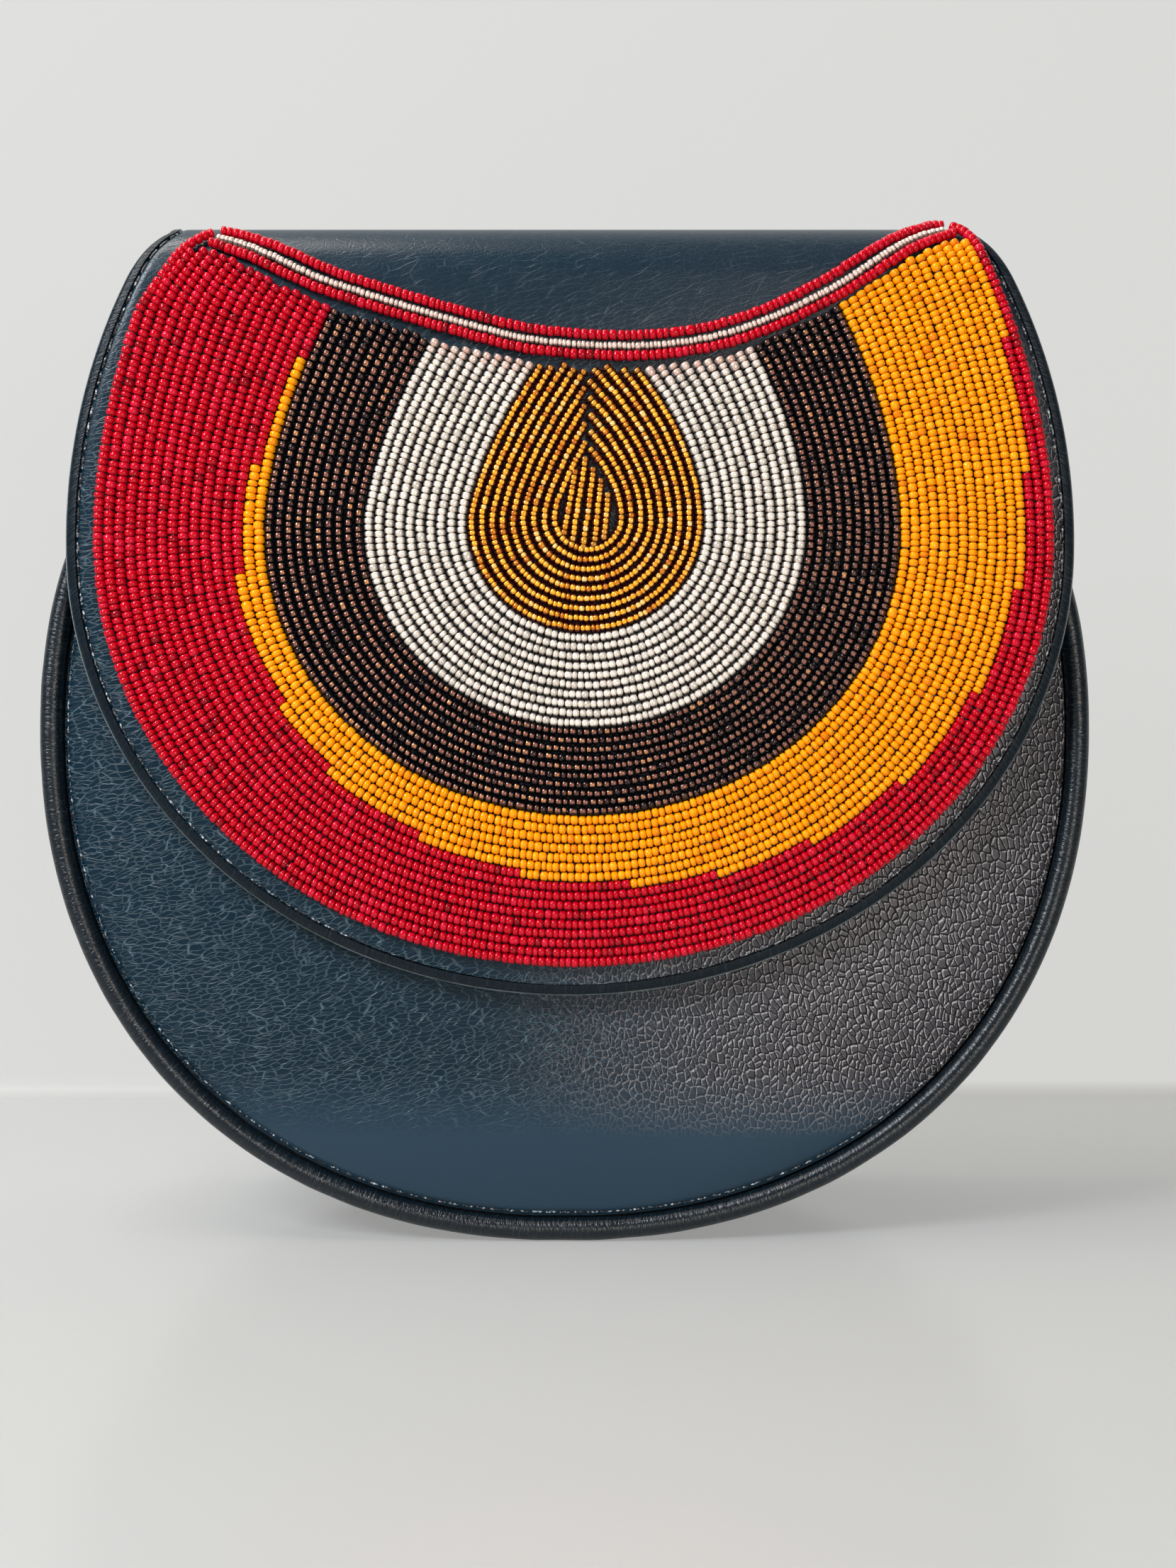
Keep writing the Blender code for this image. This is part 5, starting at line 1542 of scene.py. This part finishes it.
    def row_angles(self, line: Array, slack: float) -> Array:
        """Fine angles of a row that stays clear of the neckline and of the loop's own axis.

        Args:
            line: Left, right, bottom and widest level of the row's loop.
            slack: Factor of the row's distance from the neckline.

        Returns:
            The angles, in order round the loop.
        """
        angles = np.linspace(-0.5 * np.pi, 1.5 * np.pi, 2881)
        spots = self.loop(line, angles)
        margin = slack * np.interp(spots[:, 0], *(np.array(self.margins) * MM).T)
        ceiling = self.neckline(spots[:, 0]) - 2.0 * MM - 0.5 * self.diameter - margin
        axis = 0.5 * (line[0] + line[1])
        free = (spots[:, 1] < ceiling) & (np.abs(spots[:, 0] - axis) > self.axis_gap)
        free |= (angles >= 0.0) & (angles <= np.pi)
        middle = len(angles) // 2
        first = middle - int(np.argmin(np.concatenate([free[middle::-1], [False]]))) + 1
        last = middle + int(np.argmin(np.concatenate([free[middle:], [False]]))) - 1
        return angles[first:last + 1]


@dataclass
class Strand:
    """One strung row: the piece it belongs to, its path on the flat leather and its width at each point.

    A row that changes from red to yellow has the angle of each point and the angle of the change.
    """

    piece: str
    kind: BeadKind
    path: Array
    width: Array
    angles: Array | None = None
    switch: float = 0.0
    scale: float = 1.0
    tails: bool = True


@dataclass
class Beadwork:
    """All the beads and their threads; a spread is the usual departure from the size, as a share of it."""

    finishes: Finishes
    pattern: BeadPattern = field(default_factory=BeadPattern)
    seed: int = 7
    length_spread: float = 0.11
    width_spread: float = 0.018
    height_spread: float = 0.025
    drift: float = 0.05 * MM
    clear_tail: float = 0.4
    low_share: float = 0.84

    def strands(self) -> list[Strand]:
        """Every row of the loops, with its width from the distance to its neighbours.

        Returns:
            The loops from the innermost out, then the centre's rows and the neckline's.
        """
        generator = np.random.default_rng(self.seed)
        pattern, result = self.pattern, []
        lines = pattern.lines()
        for band, inner, outer in zip(pattern.bands, lines, lines[1:]):
            for row in range(band.rows):
                share = (row + 0.5) / band.rows
                line = lerp(inner, outer, share)
                angles = pattern.row_angles(line, generator.uniform(0.7, 1.3))
                path = pattern.loop(line, angles)
                if band.kind is BeadKind.RED and row == band.rows - 1:
                    result.append(self.outermost_strand(path))
                    continue
                before, after = (pattern.loop(lerp(inner, outer, share + part / band.rows), angles)
                                 for part in (-0.5, 0.5))
                thread, gap = unit(np.gradient(path, axis=0)), after - before
                width = np.clip(np.abs(gap[:, 0] * thread[:, 1] - gap[:, 1] * thread[:, 0]), 1.5 * MM, 2.2 * MM)
                strand = Strand(band.kind.value, band.kind, path, width)
                if band.kind is BeadKind.RED:
                    strand.angles, strand.switch = angles, math.radians(pattern.switch[row])
                result.append(strand)
        return result + self.centre_strands() + self.neckline_strands()

    def outermost_strand(self, loop: Array) -> Strand:
        """The outermost row, which turns in at both top corners to meet the neckline's upper row."""
        left, right = np.array(self.pattern.left_turn) * MM, np.array(self.pattern.right_turn) * MM
        middle = loop[(loop[:, 1] < np.where(loop[:, 0] < 0.0, left[-1, 1], right[0, 1]) - 1.0 * MM)]
        path = smoothed(np.concatenate([left, middle, right]), 1.5 * MM)
        return Strand(BeadKind.RED.value, BeadKind.RED, path, np.full(len(path), 2.12 * MM), tails=False)

    def centre_strands(self) -> list[Strand]:
        """Five short upright rows in the innermost loop, leaning to the right."""
        rows = []
        for low, high in (((-0.2, 92.9), (2.4, 107.3)), ((1.5, 91.6), (4.5, 110.0)), ((3.9, 91.2), (6.1, 107.8)),
                          ((6.1, 91.7), (7.6, 105.4)), ((8.2, 92.9), (8.9, 102.6))):
            path = resampled(np.array([low, high]) * MM, 0.3 * MM)
            rows.append(Strand("gold_centre_beads", BeadKind.GOLD, path, np.full(len(path), 2.05 * MM)))
        return rows

    def neckline_strands(self) -> list[Strand]:
        """Rows along the neckline: its curve moved square to itself, between the places of the row's ends."""
        curve, rows = self.pattern.curve, []
        thread = unit(np.gradient(curve, axis=0))
        square = columns(-thread[:, 1], thread[:, 0])
        for row in self.pattern.neck_rows:
            path = curve + row.offset * square
            if row.left:
                left, right = np.array(row.left) * MM, np.array(row.right) * MM
                between = (path[:, 0] > left[-1, 0] + 1.5 * MM) & (path[:, 0] < right[0, 0] - 1.5 * MM)
                path = smoothed(np.concatenate([left, path[between], right]), 1.2 * MM)
            rows.append(Strand(row.piece, row.kind, path, np.full(len(path), row.width), scale=row.scale,
                               tails=False))
        return rows

    def beads(self, strand: Strand, generator: np.random.Generator) -> dict[BeadKind, Surface]:
        """Beads of one strand: random lengths laid end to end and scaled to fill it.

        One bead in fifty is half as long again, and the neckline's clear row is low and takes on some of the red.

        Args:
            strand: The row.
            generator: Source of the small differences between beads.

        Returns:
            A surface for each kind of bead on the strand.
        """
        flap = self.pattern.flap
        lengths = distances(strand.path)
        count = max(int(round(lengths[-1] / (BEAD_LENGTHS[strand.kind] * strand.scale))), 1)
        sized = 1.0 + generator.normal(0.0, self.length_spread, count).clip(-0.28, 0.35)
        sized += (generator.random(count) < 0.02) * 0.5
        ends = np.concatenate([[0.0], np.cumsum(sized)])
        ends *= lengths[-1] / ends[-1]
        share = 0.5 * (ends[1:] + ends[:-1])
        wide = generator.normal(0.985, self.width_spread, count).clip(0.93, 1.03)
        wide = 0.5 * np.interp(share, lengths, strand.width) * wide
        high = 0.5 * self.pattern.diameter * generator.normal(0.97, self.height_spread, count).clip(0.9, 1.03)
        high *= self.low_share if strand.kind is BeadKind.SILVER and not strand.tails else 1.0
        drift = generator.normal(0.0, self.drift, (count, 2))
        corners = []
        for places in (ends[:-1], ends[1:]):
            x, along = (np.interp(places, lengths, strand.path[:, axis]) for axis in (0, 1))
            corners.append((x + drift[:, 0], along + drift[:, 1]))
        lift = -(self.pattern.lift + high)
        starts, stops = (flap.point(x, along, lift) for x, along in corners)
        outward = flap.normal(0.5 * (corners[0][1] + corners[1][1]))
        shade = generator.random(count)
        tail = np.full(count, self.clear_tail if strand.kind is BeadKind.SILVER else 0.0)
        if strand.tails:
            order = np.minimum(np.arange(count), np.arange(count)[::-1])
            tail = np.clip(1.0 - order / 2.5, 0.0, 1.0) * generator.uniform(0.5, 1.0, count)
        kinds = {strand.kind: np.ones(count, bool)}
        if strand.angles is not None:
            turned = np.interp(share, lengths, strand.angles)
            kinds = {BeadKind.RED: turned < strand.switch, BeadKind.YELLOW: turned >= strand.switch}
        return {kind: BEAD_GRAIN.strung(starts[chosen], stops[chosen], outward[chosen], wide[chosen], high[chosen],
                                        shade[chosen], tail[chosen])
                for kind, chosen in kinds.items() if chosen.any()}

    def thread(self, strand: Strand) -> Surface:
        """Thread of a strand: a thin tube through its beads."""
        flat = resampled(strand.path, 2.2 * MM)
        path = self.pattern.flap.point(flat[:, 0], flat[:, 1], -(self.pattern.lift + 0.5 * self.pattern.diameter))
        outward = self.pattern.flap.normal(flat[:, 1])
        beside = unit(np.cross(outward, np.gradient(path, axis=0)))
        return tube(path, beside, outward, 0.32 * MM, 4)

    def build(self) -> None:
        """Make the beads of each colour as one piece, the neckline's rows as three more, and the threads."""
        generator = np.random.default_rng(self.seed + 1)
        materials = {kind: finish.build() for kind, finish in BEAD_FINISHES.items()}
        groups: dict[str, tuple[BeadKind, Surface]] = {}
        threads = None
        for strand in self.strands():
            for kind, surface in self.beads(strand, generator).items():
                name = strand.piece if kind is strand.kind else kind.value
                known = groups.get(name)
                groups[name] = (kind, surface if known is None else known[1].joined(surface))
            line = self.thread(strand)
            threads = line if threads is None else threads.joined(line)
        for name, (kind, surface) in groups.items():
            piece = surface.to_object(name + "_strung", materials[kind], 180.0)
            settle(piece, "flap", kind.value, name)
        settle(threads.to_object("bead_threads", self.finishes.thread, 180.0), "flap", "edge_leather")


# Hardware

@dataclass
class Hardware:
    """Strap rings with their tabs and rivets, and the magnetic snap."""

    finishes: Finishes
    shape: FlapShape = field(default_factory=FlapShape)
    wire: float = 1.5 * MM
    ring_half_width: float = 11.5 * MM
    ring_reach: float = 18.0 * MM
    ring_arm: float = 3.0 * MM
    bar_rise: float = 6.0 * MM
    rest_angle: float = math.radians(28.0)
    tab: float = 1.2 * MM
    tab_half_width: float = 9.0 * MM
    tab_length: float = 13.0 * MM
    stack: float = 2.3 * MM
    touch: float = 0.3 * MM
    rivet_drop: float = 7.0 * MM
    rivet_head: float = 3.0 * MM
    rivet_shank: float = 1.3 * MM

    def spot(self, side: int, height: float, inset: float) -> Array:
        """Point in the middle of the gusset's width, at a height and a distance inside its outer face."""
        body = self.shape.body
        return np.array([side * float(body.half_width_at(height, inset)), body.middle_y, height])

    def ring_frame(self, side: int) -> tuple[Array, Array, Array]:
        """Place and directions of a strap ring.

        Args:
            side: -1 for the left, 1 for the right.

        Returns:
            Centre of its bar, unit direction along the gusset and unit direction out of it.
        """
        mouth = self.shape.body.mouth
        end = self.spot(side, mouth, 0.5 * self.stack)
        along = unit(end - self.spot(side, mouth - 0.5 * self.tab_length, 0.5 * self.stack))
        outward = np.array([side * along[2], 0.0, -side * along[0]])
        return end + along * self.bar_rise, along, outward

    def strap_ring(self, word: str, side: int) -> None:
        """Ring: a straight bar and a bow, arm + (reach - arm) x sin a away from it, with its corners rounded.

        Args:
            word: Side in the node's name.
            side: -1 for the left, 1 for the right.
        """
        bar, along, outward = self.ring_frame(side)
        reach = outward * math.sin(self.rest_angle) - along * math.cos(self.rest_angle)
        turn = np.linspace(0.0, np.pi, 60)
        bow = columns(self.ring_half_width * np.cos(turn),
                      self.ring_arm + (self.ring_reach - self.ring_arm) * np.sin(turn))
        ends = [(-self.ring_half_width, 0.0), (self.ring_half_width, 0.0)]
        flat = resampled(np.concatenate([ends, bow, ends[:1]]), 0.5 * MM)[:-1]
        kernel = np.ones(5) / 5.0
        flat = columns(*(np.convolve(np.concatenate([column[-2:], column, column[:2]]), kernel, "valid")
                         for column in flat.T))
        path = bar + flat[:, :1] * TO_BACK + flat[:, 1:] * reach
        ahead = unit(np.roll(path, -1, axis=0) - np.roll(path, 1, axis=0))
        face = np.cross(TO_BACK, reach)
        surface = tube(path, np.cross(ahead, face), face, self.wire, 16, closed=True)
        name = "ring_" + word
        settle(surface.to_object(name + "_wire", self.finishes.nickel), name, "nickel_hardware", name)

    def ring_tab(self, word: str, side: int) -> None:
        """Tab: a strip up the gusset's outside, half a turn round the bar and down the inside.

        Args:
            word: Side in the node's name.
            side: -1 for the left, 1 for the right.
        """
        bar, along, outward = self.ring_frame(side)
        mouth = self.shape.body.mouth
        turn_radius = self.wire + self.touch
        heights = np.linspace(mouth - self.tab_length, mouth, 9)
        turn = np.linspace(0.0, np.pi, 17)
        spokes = np.cos(turn)[:, None] * outward + np.sin(turn)[:, None] * along
        sides = []
        for near, radius in ((-self.touch, turn_radius), (-self.touch - self.tab, turn_radius + self.tab)):
            up = np.stack([self.spot(side, height, near) for height in heights])
            down = np.stack([self.spot(side, height, self.stack - near) for height in heights[::-1]])
            sides.append(np.concatenate([up, bar + radius * spokes, down]))
        edges = self.tab_half_width * wide_shares(24)
        grids = [line[:, None] + edges[:, None] * TO_BACK for line in sides]
        surface = layered(grids[1], grids[0], edges, distances(sides[1])[:, None])
        piece = surface.to_object("ring_tab_" + word + "_leather", self.finishes.leather)
        soften = piece.modifiers.new("edge", "BEVEL")
        soften.width, soften.segments, soften.limit_method = 0.3 * MM, 2, "ANGLE"
        settle(piece, "body", "pebbled_leather", "ring_tab_" + word)

    def rivet(self, word: str, side: int) -> None:
        """Rivet through tab and gusset, with a domed head at each end.

        Args:
            word: Side in the node's name.
            side: -1 for the left, 1 for the right.
        """
        mouth, middle = self.shape.body.mouth, 0.5 * self.stack
        height, half = mouth - self.rivet_drop, 0.5 * self.rivet_drop
        centre = self.spot(side, height, middle)
        slope = unit(self.spot(side, height + half, middle) - self.spot(side, height - half, middle))
        axis = np.array([side * slope[2], 0.0, -side * slope[0]])
        head = middle + self.touch + self.tab + self.touch
        dome = [(self.rivet_head * math.cos(angle), head + 0.25 * MM + 0.75 * MM * math.sin(angle))
                for angle in np.linspace(0.47 * math.pi, 0.0, 8)]
        half_profile = dome + [(self.rivet_head, head), (self.rivet_shank, head)]
        profile = half_profile + [(radius, -along) for radius, along in half_profile[::-1]]
        surface = lathed(centre, axis, profile, 32)
        settle(surface.to_object("rivet_" + word + "_domed", self.finishes.nickel), "body", "nickel_hardware",
               "rivet_" + word)

    def snap(self) -> None:
        """Socket on the front and stud on the flap, with rounded rims; profiles are in millimetres."""
        shape, nickel = self.shape, self.finishes.nickel
        outward = shape.normal(np.array(shape.snap_along))
        flap_face = shape.point(np.array(0.0), np.array(shape.snap_along), shape.stack)
        front_face = flap_face - outward * (shape.snap_space - shape.snap_curl)
        socket = [(1.4, -2.5), (1.4, 0.3), (6.8, 0.3), (7.0, 0.5), (7.0, 1.3), (6.9, 1.5), (6.7, 1.6), (4.0, 1.6),
                  (3.75, 1.55), (3.6, 1.4), (3.6, 0.7)]
        stud = [(1.4, -1.7), (1.4, 0.3), (6.8, 0.3), (7.0, 0.5), (7.0, 0.8), (6.8, 1.0), (2.7, 1.0), (2.6, 1.1),
                (2.6, 1.3), (2.5, 1.6)]
        for name, body, face, axis, profile in (("snap_socket", "body", front_face, outward, socket),
                                                ("snap_stud", "flap", flap_face, -outward, stud)):
            surface = lathed(face, axis, [(radius * MM, along * MM) for radius, along in profile])
            settle(surface.to_object(name + "_plated", nickel), body, "nickel_hardware", name)

    def build(self, nodes: dict[str, bpy.types.Object]) -> None:
        """Make the hardware, and give the two hidden washers their finish."""
        for word, side in (("left", -1), ("right", 1)):
            self.strap_ring(word, side)
            self.ring_tab(word, side)
            self.rivet(word, side)
        self.snap()
        for name in ("socket_washer", "stud_washer"):
            for slot in nodes[name].material_slots:
                slot.material = self.finishes.nickel


# Studio

@dataclass(frozen=True)
class Softbox:
    """One soft lamp: where it is, how wide, how strong and its colour."""

    name: str
    place: tuple[float, float, float]
    width: float
    power: float
    colour: str


@dataclass
class Studio:
    """Camera, lamps, floor and backdrop."""

    camera_place: tuple[float, float, float] = (0.0049, -0.4412, 0.1102)
    camera_down: float = math.radians(2.0)
    focal_pixels: float = 2827.0
    image_height: float = 2212.0
    wall_y: float = 0.137
    wall_reach: float = 2.5
    cove: float = 6.0 * MM
    floor: str = "#c5c6c4"
    wall: str = "#d9d9d7"
    room: str = "#f2f2f3"
    room_strength: float = 0.17
    aim: tuple[float, float, float] = (0.0, 0.0, 0.11)
    lamps: tuple[Softbox, ...] = (
        Softbox("window_left", (-0.50, -0.50, 0.60), 0.28, 7.4, "#f2f6fc"),
        Softbox("ceiling", (-0.35, -0.10, 0.90), 0.40, 5.0, "#fff8f0"),
        Softbox("room_right", (0.32, -0.90, 0.15), 0.32, 2.9, "#fff6ee"),
    )

    def camera(self) -> None:
        """Place the camera at the photograph's viewpoint."""
        data = bpy.data.cameras.new("camera")
        data.sensor_fit = "VERTICAL"
        data.sensor_height = 36.0
        data.lens = self.focal_pixels / self.image_height * data.sensor_height
        data.clip_start = 0.01
        view = bpy.data.objects.new("camera", data)
        view.location = self.camera_place
        view.rotation_euler = (0.5 * math.pi - self.camera_down, 0.0, 0.0)
        bpy.context.scene.collection.objects.link(view)
        bpy.context.scene.camera = view
        bpy.context.scene.view_settings.view_transform = "Standard"

    def light(self) -> None:
        """Place the soft lamps and the even light of the room."""
        for lamp in self.lamps:
            data = bpy.data.lights.new(lamp.name, "AREA")
            data.shape = "SQUARE"
            data.size = lamp.width
            data.energy = lamp.power
            data.color = linear(lamp.colour)[:3]
            holder = bpy.data.objects.new(lamp.name, data)
            holder.location = lamp.place
            aim = Vector(self.aim) - Vector(lamp.place)
            holder.rotation_euler = aim.to_track_quat("-Z", "Y").to_euler()
            bpy.context.scene.collection.objects.link(holder)
        world = bpy.data.worlds.new("room")
        bpy.context.scene.world = world
        world.use_nodes = True
        background = world.node_tree.nodes["Background"]
        background.inputs["Color"].default_value = linear(self.room)
        background.inputs["Strength"].default_value = self.room_strength

    def backdrop(self) -> None:
        """Floor that turns up into a wall with a small cove: one profile carried sideways.

        The camera, glossy and clear rays see it by its own colour, so that it is pale without light on the object.
        """
        turn, cove, reach = np.linspace(0.0, 0.5 * np.pi, 9), self.cove, self.wall_reach
        curve = columns(self.wall_y - cove + cove * np.sin(turn), cove - cove * np.cos(turn))
        profile = np.concatenate([[(-reach, 0.0)], curve, [(self.wall_y, reach)]])
        points = columns(np.array([-reach, reach]), profile[:, :1], profile[:, 1:]).reshape(-1, 3)
        index = np.arange(len(points)).reshape(-1, 2)
        faces = columns(index[:-1, 0], index[:-1, 1], index[1:, 1], index[1:, 0])
        surface = Surface(points, faces, points[faces][..., :2])
        material, tree, shader = new_finish("painted_wall_and_floor")
        place = add_node(tree, "TexCoord").outputs["Object"]
        height = add_node(tree, "SeparateXYZ", {"Vector": place}).outputs["Z"]
        up = add_node(tree, "MapRange", {"Value": height, "From Max": 4.0 * MM})
        colour = add_node(tree, "Mix", {0: up, 6: self.floor, 7: self.wall}, data_type="RGBA")
        gloss = add_node(tree, "MapRange", {"Value": up, "To Min": 0.22, "To Max": 0.6})
        fill(tree, shader, {"Base Color": colour, "Roughness": gloss})
        rays = add_node(tree, "LightPath").outputs
        looked = rays["Is Camera Ray"]
        for name in ("Is Glossy Ray", "Is Transmission Ray"):
            looked = add_node(tree, "Math", {0: looked, 1: rays[name]}, operation="MAXIMUM")
        even = add_node(tree, "MapRange", {"Value": up, "To Min": 0.5, "To Max": 0.9})
        share = add_node(tree, "Math", {0: looked, 1: even}, operation="MULTIPLY")
        paint = add_node(tree, "Emission", {"Color": colour})
        face = add_node(tree, "MixShader", {0: share, 1: shader, 2: paint})
        behind = add_node(tree, "NewGeometry").outputs["Backfacing"]
        seen = add_node(tree, "MixShader", {0: behind, 1: face, 2: add_node(tree, "BsdfTransparent")})
        fill(tree, tree.nodes["Material Output"], {"Surface": seen})
        surface.to_object("floor_and_wall", material)


def main() -> None:
    """Load the model, dress every piece and set the studio."""
    logging.basicConfig(level=logging.INFO, format="%(message)s")
    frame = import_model()
    studio = Studio()
    studio.camera()
    finishes = Finishes()
    Body(finishes).build()
    Flap(finishes).build()
    Beadwork(finishes).build()
    Hardware(finishes).build(frame["nodes"])
    studio.light()
    studio.backdrop()
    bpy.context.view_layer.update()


if __name__ == "__main__":
    main()
